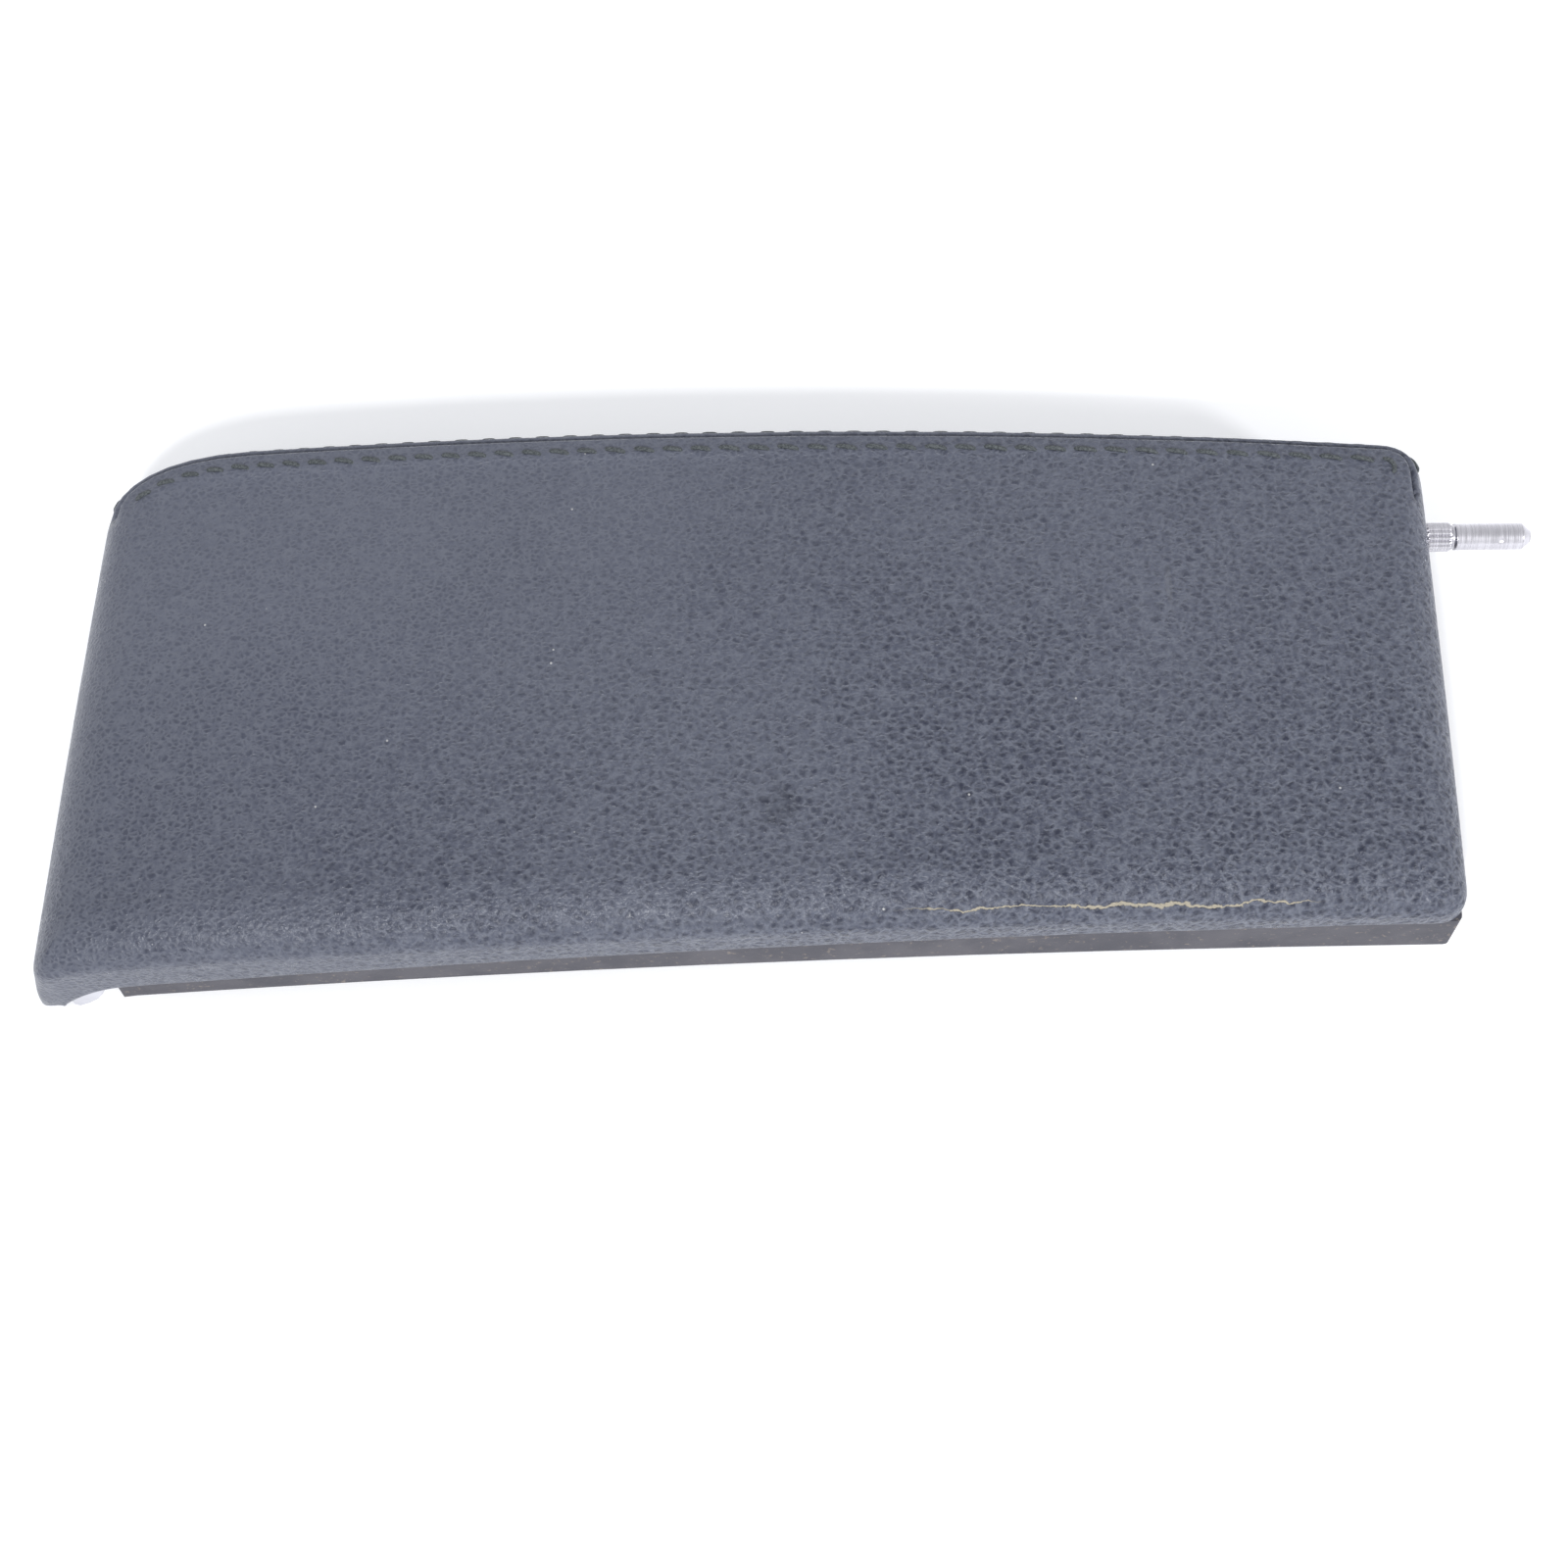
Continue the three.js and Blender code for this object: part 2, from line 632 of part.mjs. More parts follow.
// The pin runs forward from its rear end face at the origin.
function hingePin() {
  const knurlEnd = rearX + 0.6 + knurlLength;
  const grooveEnd = rearX - pinInside + 2.4;
  const groove = pinRadius - 0.7;
  const profile = [
    [0, 0], [pinRadius - pinChamfer, 0], [pinRadius, -pinChamfer * 1.2],
    [pinRadius, knurlEnd + neckLength], [pinRadius - neckDepth, knurlEnd + neckLength],
    [pinRadius - neckDepth, knurlEnd - 1], [pinRadius, knurlEnd - 1],
    [pinRadius, grooveEnd], [groove, grooveEnd], [groove, grooveEnd - clipThickness - clearance * 2],
    [pinRadius, grooveEnd - clipThickness - clearance * 2],
    [pinRadius, rearX - pinInside + 0.5], [pinRadius - 0.5, rearX - pinInside],
    [0, rearX - pinInside],
  ];
  const body = toSolid(turned(profile.toReversed(), 32).rotateZ(-Math.PI / 2));
  const star = Array.from({ length: knurlTeeth * 2 }, (_, i) => {
    const radius = i % 2 ? pinRadius - knurlDepth / 2 : pinRadius + knurlDepth / 2;
    const angle = i * Math.PI / knurlTeeth;
    return new THREE.Vector2(radius * Math.cos(angle), radius * Math.sin(angle));
  });
  const knurl = new THREE.ExtrudeGeometry(new THREE.Shape(star), {
    depth: knurlLength, bevelEnabled: false,
  });
  return body.add(toSolid(knurl.rotateY(Math.PI / 2).translate(knurlEnd - knurlLength, 0, 0)));
}

function pinCirclip() {
  const inner = pinRadius - 0.7 + clearance;
  const ring = new THREE.Shape();
  ring.absarc(0, 0, inner + clipWall, 0.5, Math.PI * 2 - 0.5);
  ring.absarc(0, 0, inner, Math.PI * 2 - 0.5, 0.5, true);
  const x = rearX - pinInside + 2.4 - clearance - clipThickness;
  const clip = new THREE.ExtrudeGeometry(ring, {
    depth: clipThickness, bevelEnabled: false, curveSegments: 10,
  });
  return clip.rotateY(Math.PI / 2).translate(x, 0, 0);
}

// ---- The assembly -------------------------------------------------------------------------

const material = (color, roughness, metalness = 0) => (
  new THREE.MeshStandardMaterial({ color, roughness, metalness })
);
const materials = {
  leather: material(0x4a4f5c, 0.6),
  thread: material(0x30343a, 0.8),
  foam: material(0xd8c98a, 0.9),
  carrier: material(0x1d1e20, 0.6),
  cover: material(0x3b3b40, 0.85),
  silver: material(0xc4c5cc, 0.4, 0.4),
  steel: material(0xbfc0c6, 0.3, 1),
  bronze: material(0xa8864a, 0.4, 1),
  rubber: material(0x141414, 0.9),
};

const lid = new THREE.Group();
const nose = new THREE.Group();
nose.applyMatrix4(noseFrame);
lid.add(nose);

function place(parent, name, shape, look, [x, y, z] = [0, 0, 0]) {
  const geometry = shape.isBufferGeometry ? shape : toGeometry(shape);
  const mesh = new THREE.Mesh(geometry, materials[look]);
  mesh.name = name;
  mesh.position.set(x, y, z);
  parent.add(mesh);
}

place(lid, 'leather_top_panel', topPanel, 'leather');
place(lid, 'leather_side_panel', sidePanel, 'leather');
place(lid, 'stitch_row_top', stitchRow(topRowAngle), 'thread');
place(lid, 'stitch_row_side', stitchRow(sideRowAngle), 'thread');
place(lid, 'foam_pad', foamPad(), 'foam');
place(lid, 'carrier_frame', carrierFrame(), 'carrier');
place(lid, 'lower_cover', lowerCover(), 'cover');
coverScrewPlaces.forEach(([x, y], i) => {
  place(lid, `cover_screw_${i + 1}`, coverScrew(), 'steel', [x, y, underside(x) + counterbore - clearance]);
});
stopPlaces.forEach(([x, y], i) => {
  place(lid, `bump_stop_${i + 1}`, bumpStop(), 'rubber', [x, y, underside(x)]);
});
place(lid, 'rear_hinge_bush', bush(rearBushLength), 'bronze', [rearBushX, 0, 0]);
place(lid, 'front_hinge_bush', bush(frontBlockEnd - frontFaceX), 'bronze', [frontFaceX, 0, 0]);
place(lid, 'hinge_pin', hingePin(), 'steel');
place(lid, 'pin_circlip', pinCirclip(), 'steel');
place(nose, 'release_lever', releaseLever(), 'silver');
place(nose, 'latch_hook', latchHook(), 'steel');
place(nose, 'lever_pivot_pin', pivotPin(), 'steel');
place(nose, 'lever_spring', leverSpring(), 'steel');

export default lid;
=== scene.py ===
"""The looks of one wing of a split armrest lid: leather over foam on a plastic carrier, with a
hinge pin at the rear and a silver release lever under the nose.

Shapes are worked out in millimetres in the part's own frame and stored in metres. +X points to
the rear along the hinge axis, +Y to the outer (hinge) side, +Z up.
"""

import math
import random

import bpy
from mathutils import Matrix, Vector, noise


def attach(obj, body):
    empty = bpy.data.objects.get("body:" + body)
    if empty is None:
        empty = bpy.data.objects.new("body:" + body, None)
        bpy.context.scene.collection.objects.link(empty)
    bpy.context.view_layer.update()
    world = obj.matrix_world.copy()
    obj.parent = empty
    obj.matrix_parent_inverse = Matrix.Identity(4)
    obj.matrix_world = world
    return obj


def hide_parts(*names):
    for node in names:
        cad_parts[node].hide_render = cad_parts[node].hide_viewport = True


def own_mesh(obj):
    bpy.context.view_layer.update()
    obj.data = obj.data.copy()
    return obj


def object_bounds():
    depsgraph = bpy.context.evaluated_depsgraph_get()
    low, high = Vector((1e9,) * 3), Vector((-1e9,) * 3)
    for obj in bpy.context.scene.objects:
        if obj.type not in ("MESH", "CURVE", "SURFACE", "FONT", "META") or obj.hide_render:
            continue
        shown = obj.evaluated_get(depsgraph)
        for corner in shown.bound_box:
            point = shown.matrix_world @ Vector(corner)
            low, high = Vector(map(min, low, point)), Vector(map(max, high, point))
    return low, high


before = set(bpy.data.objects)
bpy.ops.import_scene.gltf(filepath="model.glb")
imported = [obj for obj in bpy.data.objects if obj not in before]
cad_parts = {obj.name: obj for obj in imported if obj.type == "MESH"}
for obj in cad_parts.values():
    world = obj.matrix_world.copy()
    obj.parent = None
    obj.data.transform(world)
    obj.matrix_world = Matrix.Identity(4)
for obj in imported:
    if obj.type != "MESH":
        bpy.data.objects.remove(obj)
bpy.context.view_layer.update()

MM = 0.001

# ---- The lid's outer skin, in millimetres ----------------------------------------------------

LID_LENGTH = 300.0
FRONT_WIDTH = 125.5
REAR_WIDTH = 116.0
LID_THICKNESS = 26.4
ARCH_RISE = 5.8
SIDE_BOW = 2.6
TOP_CROWN = 1.5
NOSE_DROOP = 4.0
NOSE_LENGTH = 34.0
NOSE_DIP = 6.0
NOSE_DIP_LENGTH = 19.0
NOSE_TIP_DIP = 2.8
NOSE_TIP_LENGTH = 7.0
NOSE_LEAN = 3.4
FRONT_RAKE = 7.5
REAR_RAKE = -0.5
EDGE_RADIUS = 8.0
EDGE_SPREAD = 1.6
# How far each corner's curve reaches along the side before it and the side after it
CORNER_REACHES = {
    "front_outer": (16.0, 32.0),
    "rear_outer": (10.0, 10.0),
    "rear_split": (6.5, 6.5),
    "front_split": (5.0, 5.0),
}
HEM_FRONT = 7.0
HEM_REAR = 14.5
HEM_NOSE_FALL = 12.0
COVER_SETBACK = 17.0
NOSE_HOOK = 5.4
SIDE_PANEL_WRAP = 18.0
HINGE_INSET = 22.0
HINGE_HEIGHT = 13.4
PIN_RADIUS = 3.0
PIN_REACH = 24.3

REAR_X = -PIN_REACH
FRONT_X = REAR_X - LID_LENGTH
MIDDLE_X = (FRONT_X + REAR_X) / 2
OUTER_Y = HINGE_INSET
SPLIT_Y = OUTER_Y - (FRONT_WIDTH + REAR_WIDTH) / 2
MIDDLE_Y = (OUTER_Y + SPLIT_Y) / 2
UNDERSIDE_Z = ARCH_RISE - HINGE_HEIGHT
FRONT_SLOPE = FRONT_RAKE / FRONT_WIDTH

# How finely the skin is drawn
SIDE_STEPS = 110
END_STEPS = 44
CORNER_STEPS = 8
RING_POINTS = 2 * (SIDE_STEPS + END_STEPS) + 4 * CORNER_STEPS
STATION_BUNCHING = 1.6

# The seam and its two rows of stitches, as degrees up the rounded edge
SEAM_ANGLE = 51.3
ROW_ANGLES = {"stitches_top": 84.0, "stitches_side": 22.0}
SEAM_DEPTH = 1.5
SEAM_WIDTH = 0.45
SEAM_LIP = 0.5


def along(x):
    return (x - MIDDLE_X) / (LID_LENGTH / 2)


def fade(distance, length):
    return max(0.0, 1 - distance / length) ** 2


def smooth(low, high, value):
    t = min(max((value - low) / (high - low), 0.0), 1.0)
    return t * t * (3 - 2 * t)


def underside(x):
    return UNDERSIDE_Z - ARCH_RISE * along(x) ** 2


def setback(x, y):
    """How far a point lies behind the raked front edge."""
    return x - FRONT_X - (y - MIDDLE_Y) * FRONT_SLOPE


def hem(x):
    fall = HEM_NOSE_FALL * fade(x - FRONT_X + FRONT_RAKE / 2, COVER_SETBACK)
    return HEM_FRONT + (HEM_REAR - HEM_FRONT) * (along(x) + 1) / 2 - fall


def bend(x, y, height):
    """Bends a point given by its height above the underside into the arched, crowned lid."""
    share = height / LID_THICKNESS
    across = (y - MIDDLE_Y) / (OUTER_Y - MIDDLE_Y)
    behind = setback(x, y)
    drop = TOP_CROWN * across**2 + NOSE_DROOP * fade(behind, NOSE_LENGTH)
    dip = NOSE_DIP * fade(behind, NOSE_DIP_LENGTH) + NOSE_TIP_DIP * fade(behind, NOSE_TIP_LENGTH)
    lean = NOSE_LEAN * fade(behind, NOSE_DIP_LENGTH) * (1 - smooth(0.1, 0.9, share))
    return Vector((x - lean, y, underside(x) + height - share * drop - (1 - share) * dip))


def outline(inset):
    """Points round the plan outline, from the front outer corner to the rear and back."""
    half = (FRONT_WIDTH - REAR_WIDTH) / 4
    corners = [
        ("front_outer", Vector((FRONT_X + FRONT_RAKE / 2 + inset, OUTER_Y - inset))),
        ("rear_outer", Vector((REAR_X - inset, OUTER_Y - inset))),
        ("rear_split", Vector((REAR_X + REAR_RAKE - inset, SPLIT_Y + half * 2 + inset))),
        ("front_split", Vector((FRONT_X - FRONT_RAKE / 2 + inset, SPLIT_Y - half * 2 + inset))),
    ]
    points = []
    for i, (name, corner) in enumerate(corners):
        next_name, turn = corners[(i + 1) % 4]
        after = corners[(i + 2) % 4][1]
        direction = (turn - corner).normalized()
        start = corner + direction * max(CORNER_REACHES[name][1] - inset, 0.8)
        end = turn - direction * max(CORNER_REACHES[next_name][0] - inset, 0.8)
        leave = turn + (after - turn).normalized() * max(CORNER_REACHES[next_name][1] - inset, 0.8)
        steps = SIDE_STEPS if i % 2 == 0 else END_STEPS
        for k in range(steps + 1):
            share = k / steps
            if i == 0:
                share = share**STATION_BUNCHING
            if i == 2:
                share = 1 - (1 - share) ** STATION_BUNCHING
            points.append(start.lerp(end, share))
        for k in range(1, CORNER_STEPS):
            t = k / CORNER_STEPS
            points.append(end.lerp(turn, t).lerp(turn.lerp(leave, t), t))
    bowed = []
    for p in points:
        outer_share = max(0.0, (p.y - MIDDLE_Y) / (OUTER_Y - MIDDLE_Y))
        bowed.append(Vector((p.x, p.y - SIDE_BOW * outer_share * along(p.x) ** 2)))
    return bowed


# ---- Mesh helpers ----------------------------------------------------------------------------


def mesh_piece(name, points, faces, body, slot, material):
    """A smooth-shaded mesh from points in millimetres, riding on a CAD body."""
    mesh = bpy.data.meshes.new(name)
    mesh.from_pydata([tuple(p * MM) for p in points], [], faces)
    mesh.update()
    mesh.shade_smooth()
    piece = bpy.data.objects.new(name, mesh)
    bpy.context.scene.collection.objects.link(piece)
    mesh.materials.append(material)
    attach(piece, body)
    return piece


def apply_modifiers(piece):
    """Bakes a piece's modifiers into its mesh."""
    evaluated = piece.evaluated_get(bpy.context.evaluated_depsgraph_get())
    baked = bpy.data.meshes.new_from_object(evaluated)
    piece.modifiers.clear()
    piece.data = baked


# ---- Materials -------------------------------------------------------------------------------


class Shader:
    """A node material under construction, with short calls for the nodes used here."""

    def __init__(self, name):
        self.material = bpy.data.materials.new(name)
        self.material.use_nodes = True
        self.nodes = self.material.node_tree.nodes
        self.links = self.material.node_tree.links
        self.bsdf = self.nodes["Principled BSDF"]
        self.place = self.nodes.new("ShaderNodeTexCoord").outputs["Object"]

    def feed(self, socket, value):
        if isinstance(value, bpy.types.NodeSocket):
            self.links.new(value, socket)
        elif isinstance(value, tuple) and len(value) == 3 and socket.type == "RGBA":
            socket.default_value = (*value, 1.0)
        else:
            socket.default_value = value

    def noise(self, per_mm, detail=3.0, rough=0.5, place=None):
        node = self.nodes.new("ShaderNodeTexNoise")
        node.inputs["Scale"].default_value = per_mm / MM
        node.inputs["Detail"].default_value = detail
        node.inputs["Roughness"].default_value = rough
        self.links.new(place or self.place, node.inputs["Vector"])
        return node.outputs["Fac"]

    def cells(self, per_mm, feature="DISTANCE_TO_EDGE", place=None):
        node = self.nodes.new("ShaderNodeTexVoronoi")
        node.feature = feature
        node.inputs["Scale"].default_value = per_mm / MM
        self.links.new(place or self.place, node.inputs["Vector"])
        return node.outputs["Distance"]

    def ramp(self, value, low, high, out_low=0.0, out_high=1.0):
        node = self.nodes.new("ShaderNodeMapRange")
        node.interpolation_type = "SMOOTHSTEP"
        for name, number in zip(
            ("Value", "From Min", "From Max", "To Min", "To Max"),
            (value, low, high, out_low, out_high),
        ):
            self.feed(node.inputs[name], number)
        return node.outputs["Result"]

    def math(self, operation, a, b=0.0):
        node = self.nodes.new("ShaderNodeMath")
        node.operation = operation
        self.feed(node.inputs[0], a)
        self.feed(node.inputs[1], b)
        return node.outputs[0]

    def mix(self, share, a, b):
        node = self.nodes.new("ShaderNodeMix")
        node.data_type = "RGBA"
        self.feed(node.inputs["Factor"], share)
        self.feed(node.inputs["A"], a)
        self.feed(node.inputs["B"], b)
        return node.outputs["Result"]

    def axes(self):
        node = self.nodes.new("ShaderNodeSeparateXYZ")
        self.links.new(self.place, node.inputs[0])
        return node.outputs

    def total(self, *terms):
        """The sum of sockets, each with its own factor."""
        result = 0.0
        for socket, factor in terms:
            result = self.math("ADD", self.math("MULTIPLY", socket, factor), result)
        return result

    def spot(self, centre_mm, half_mm):
        """1 inside an oval on the lid seen from above, falling to 0 round it."""
        x, y, _ = self.axes()
        squares = []
        for axis, middle, half in zip((x, y), centre_mm, half_mm):
            off = self.math("DIVIDE", self.math("SUBTRACT", axis, middle * MM), half * MM)
            squares.append(self.math("MULTIPLY", off, off))
        return self.ramp(self.math("ADD", *squares), 0.5, 1.6, 1.0, 0.0)

    def scaled(self, place, scale, turn=0.0):
        """A place turned about Z and then scaled along each axis."""
        node = self.nodes.new("ShaderNodeMapping")
        node.inputs["Rotation"].default_value = (0.0, 0.0, turn)
        node.inputs["Scale"].default_value = scale
        self.links.new(place, node.inputs["Vector"])
        return node.outputs["Vector"]

    def shifted(self, place, strength_mm, per_mm):
        """A place pushed about by a noise, which breaks up straight-sided cells."""
        node = self.nodes.new("ShaderNodeTexNoise")
        node.inputs["Scale"].default_value = per_mm / MM
        self.links.new(place, node.inputs["Vector"])
        centred = self.nodes.new("ShaderNodeVectorMath")
        centred.operation = "SUBTRACT"
        centred.inputs[1].default_value = (0.5, 0.5, 0.5)
        self.links.new(node.outputs["Color"], centred.inputs[0])
        scaled = self.nodes.new("ShaderNodeVectorMath")
        scaled.operation = "SCALE"
        scaled.inputs["Scale"].default_value = strength_mm * MM
        self.links.new(centred.outputs[0], scaled.inputs[0])
        added = self.nodes.new("ShaderNodeVectorMath")
        self.links.new(place, added.inputs[0])
        self.links.new(scaled.outputs[0], added.inputs[1])
        return added.outputs[0]

    def bump(self, height, depth_mm):
        node = self.nodes.new("ShaderNodeBump")
        node.inputs["Distance"].default_value = depth_mm * MM
        node.inputs["Strength"].default_value = 1.0
        self.feed(node.inputs["Height"], height)
        return node.outputs["Normal"]

    def finish(self, **values):
        for name, value in values.items():
            self.feed(self.bsdf.inputs[name.replace("_", " ")], value)
        return self.material


CRACK_SPAN = (-155.0, -52.0)
CRACK_WIDE = (-104.0, -88.0)
CRACK_Y = -94.3
CRACK_SLOPE = 0.026
CRACK_CENTRE = -120.0
STAIN = ((-172.0, -72.0), (6.0, 5.0))
SCRATCH = ((-84.6, -20.5), (0.7, 5.0))


def crack_mask(s, x, y):
    """A jagged line along the near edge where the finish has split."""
    slow = s.math("SUBTRACT", s.noise(0.09, 2.0), 0.5)
    quick = s.math("SUBTRACT", s.noise(0.6, 3.0), 0.5)
    line = s.total((y, 1.0), (x, -CRACK_SLOPE), (slow, 3.2 * MM), (quick, 1.5 * MM))
    level = (CRACK_Y - CRACK_SLOPE * CRACK_CENTRE) * MM
    away = s.math("ABSOLUTE", s.math("SUBTRACT", line, level))
    start, end = CRACK_SPAN
    present = s.math(
        "MULTIPLY",
        s.ramp(x, start * MM, (start + 30.0) * MM),
        s.ramp(x, (end - 14.0) * MM, end * MM, 1.0, 0.0),
    )
    wide = s.math(
        "MULTIPLY",
        s.ramp(x, (CRACK_WIDE[0] - 6.0) * MM, CRACK_WIDE[0] * MM),
        s.ramp(x, CRACK_WIDE[1] * MM, (CRACK_WIDE[1] + 12.0) * MM, 1.0, 0.0),
    )
    half = s.total((wide, 0.16 * MM), (present, 0.10 * MM), (s.noise(0.5, 2.0), 0.16 * MM))
    inside = s.ramp(s.math("DIVIDE", away, half), 0.6, 1.15, 1.0, 0.0)
    return s.math("MULTIPLY", inside, s.ramp(present, 0.1, 0.75))


def leather_marks(s, tone, stained, crack):
    """The tone with its stain, scratch, crack and specks of dust laid over it."""
    tone = s.mix(s.math("MULTIPLY", stained, 0.35), tone, (0.030, 0.033, 0.046))
    tone = s.mix(s.math("MULTIPLY", s.spot(*SCRATCH), 0.22), tone, (0.16, 0.165, 0.18))
    tone = s.mix(crack, tone, (0.31, 0.28, 0.22))
    dust = s.ramp(s.cells(0.11, "F1"), 0.02, 0.035, 1.0, 0.0)
    return s.mix(s.math("MULTIPLY", dust, 0.7), tone, (0.50, 0.50, 0.50))


def leather_relief(s, net, fine_net, to_rear, crack):
    """Pebbles standing out of both nets, with the crack sunk in."""
    height = s.total(
        (s.math("MULTIPLY", s.ramp(net, 0.0, 0.34), to_rear), 1.0),
        (s.ramp(fine_net, 0.0, 0.3), 0.6), (s.noise(2.2, 3.0), 0.4), (crack, -1.2),
    )
    return s.bump(height, 0.15)


def leather_material():
    """Embossed leather: dark pebbles in a paler net, coarser and darker towards the near rear."""
    s = Shader("leather_grain")
    x, y, _ = s.axes()
    warped = s.shifted(s.shifted(s.place, 1.3, 0.45), 0.6, 1.6)
    flattened = s.scaled(warped, (1.0, 1.4, 1.0), -0.2)
    net = s.cells(0.42, place=flattened)
    fine_net = s.cells(0.66, place=flattened)
    to_rear = s.ramp(s.total((x, 1.0), (y, -1.0), (s.noise(0.02, 2.0), 60 * MM)), -0.26, -0.06)
    broken = s.ramp(s.noise(0.55, 4.0, 0.6), 0.3, 0.66, 0.15, 1.0)
    visible = s.math("MULTIPLY", broken, to_rear)
    line = s.math("MULTIPLY", s.ramp(net, 0.0, 0.22, 1.0, 0.0), visible)
    fine_line = s.ramp(fine_net, 0.0, 0.3, 1.0, 0.0)
    patchy = s.ramp(s.noise(0.016, 3.0), 0.25, 0.75, -0.16, 0.16)
    stained = s.math("MULTIPLY", s.spot(*STAIN), s.ramp(s.noise(0.25, 3.0), 0.35, 0.6))
    contrast = s.total((x, 2.2), (y, -5.0), (patchy, 1.0), (stained, 0.35))
    contrast = s.ramp(s.math("ADD", contrast, 0.76), 0.05, 1.1, 0.22, 1.0)

    tone = s.mix(contrast, (0.112, 0.122, 0.162), (0.034, 0.039, 0.064))
    cloudy = s.ramp(s.noise(0.011, 4.0), 0.3, 0.7)
    tone = s.mix(s.math("MULTIPLY", cloudy, 0.3), tone, (0.092, 0.100, 0.130))
    mottle = s.ramp(s.noise(1.1, 4.0, 0.65), 0.3, 0.7)
    tone = s.mix(s.math("MULTIPLY", mottle, 0.3), tone, (0.108, 0.115, 0.140))
    pebble = s.mix(to_rear, s.ramp(fine_net, 0.1, 0.4), s.ramp(net, 0.1, 0.4))
    deep = s.mix(0.82, tone, (0.011, 0.014, 0.030))
    tone = s.mix(s.math("MULTIPLY", pebble, contrast), tone, deep)
    line_share = s.math("MULTIPLY", line, s.math("MULTIPLY", contrast, 0.6))
    tone = s.mix(line_share, tone, (0.130, 0.143, 0.185))
    fine_share = s.math("MULTIPLY", s.math("MULTIPLY", fine_line, broken), 0.34)
    tone = s.mix(fine_share, tone, (0.165, 0.176, 0.208))
    crack = crack_mask(s, x, y)
    tone = leather_marks(s, tone, stained, crack)
    normal = leather_relief(s, net, fine_net, to_rear, crack)
    rough = s.ramp(s.noise(0.3, 4.0, 0.6), 0.3, 0.7, 0.26, 0.40)
    return s.finish(
        Base_Color=tone, Roughness=rough, Normal=normal, Specular_IOR_Level=0.30,
        Sheen_Weight=0.05, Sheen_Roughness=0.35, Sheen_Tint=(0.80, 0.86, 1.0),
    )


def thread_material():
    s = Shader("thread_twist")
    strand = s.noise(2.6, 2.0, 0.6)
    colour = s.mix(s.ramp(strand, 0.3, 0.7), (0.028, 0.034, 0.038), (0.10, 0.112, 0.118))
    return s.finish(Base_Color=colour, Roughness=0.8, Normal=s.bump(strand, 0.15))


def cover_material():
    """Soft-touch plastic, dulled and speckled with handling dust."""
    s = Shader("cover_soft_touch")
    cloudy = s.ramp(s.noise(0.09, 4.0, 0.6), 0.3, 0.7)
    base = s.mix(cloudy, (0.050, 0.050, 0.064), (0.080, 0.078, 0.092))
    speck = s.ramp(s.noise(0.7, 3.0, 0.7), 0.6, 0.68)
    colour = s.mix(s.math("MULTIPLY", speck, 0.55), base, (0.24, 0.20, 0.17))
    texture = s.noise(2.4, 3.0)
    return s.finish(Base_Color=colour, Roughness=0.72, Normal=s.bump(texture, 0.06))


def silver_material():
    s = Shader("silver_paint")
    flake = s.noise(9.0, 1.0)
    colour = s.mix(flake, (0.50, 0.50, 0.55), (0.66, 0.66, 0.71))
    rough = s.ramp(s.noise(0.5, 3.0), 0.3, 0.7, 0.34, 0.46)
    return s.finish(Base_Color=colour, Metallic=0.45, Roughness=rough, Normal=s.bump(flake, 0.01))


def steel_material():
    """Turned steel with faint rings of the tool round its axis."""
    s = Shader("turned_steel")
    rings = s.noise(1.0, 3.0, 0.7, place=s.scaled(s.place, (4.0, 0.15, 0.15)))
    colour = s.mix(s.ramp(rings, 0.3, 0.7), (0.52, 0.51, 0.55), (0.70, 0.69, 0.74))
    rough = s.ramp(rings, 0.3, 0.7, 0.24, 0.36)
    return s.finish(Base_Color=colour, Metallic=1.0, Roughness=rough, Normal=s.bump(rings, 0.01))


def bronze_material():
    s = Shader("sintered_bronze")
    pores = s.noise(3.0, 4.0, 0.7)
    colour = s.mix(s.ramp(pores, 0.35, 0.6), (0.20, 0.12, 0.05), (0.48, 0.32, 0.13))
    return s.finish(Base_Color=colour, Metallic=0.9, Roughness=0.45, Normal=s.bump(pores, 0.05))


def moulded_material():
    s = Shader("moulded_plastic")
    spark = s.noise(1.6, 4.0, 0.6)
    colour = s.mix(s.ramp(spark, 0.3, 0.7), (0.014, 0.014, 0.016), (0.026, 0.026, 0.029))
    return s.finish(Base_Color=colour, Roughness=0.55, Normal=s.bump(spark, 0.05))


def rubber_material():
    s = Shader("matt_rubber")
    bloom = s.noise(0.8, 4.0, 0.6)
    colour = s.mix(s.ramp(bloom, 0.35, 0.7), (0.012, 0.012, 0.012), (0.035, 0.034, 0.033))
    return s.finish(Base_Color=colour, Roughness=0.85, Normal=s.bump(bloom, 0.04))


def foam_material():
    s = Shader("open_foam")
    pores = s.cells(1.1)
    colour = s.mix(s.ramp(pores, 0.0, 0.2), (0.34, 0.26, 0.10), (0.68, 0.57, 0.27))
    return s.finish(Base_Color=colour, Roughness=0.95, Normal=s.bump(pores, 0.4))


def floor_material():
    s = Shader("pale_floor")
    paper = s.noise(0.05, 2.0)
    colour = s.mix(paper, (0.90, 0.905, 0.92), (0.91, 0.915, 0.93))
    return s.finish(
        Base_Color=colour, Roughness=0.9, Normal=s.bump(paper, 0.02),
        Emission_Color=(0.97, 0.98, 1.0), Emission_Strength=0.18,
    )


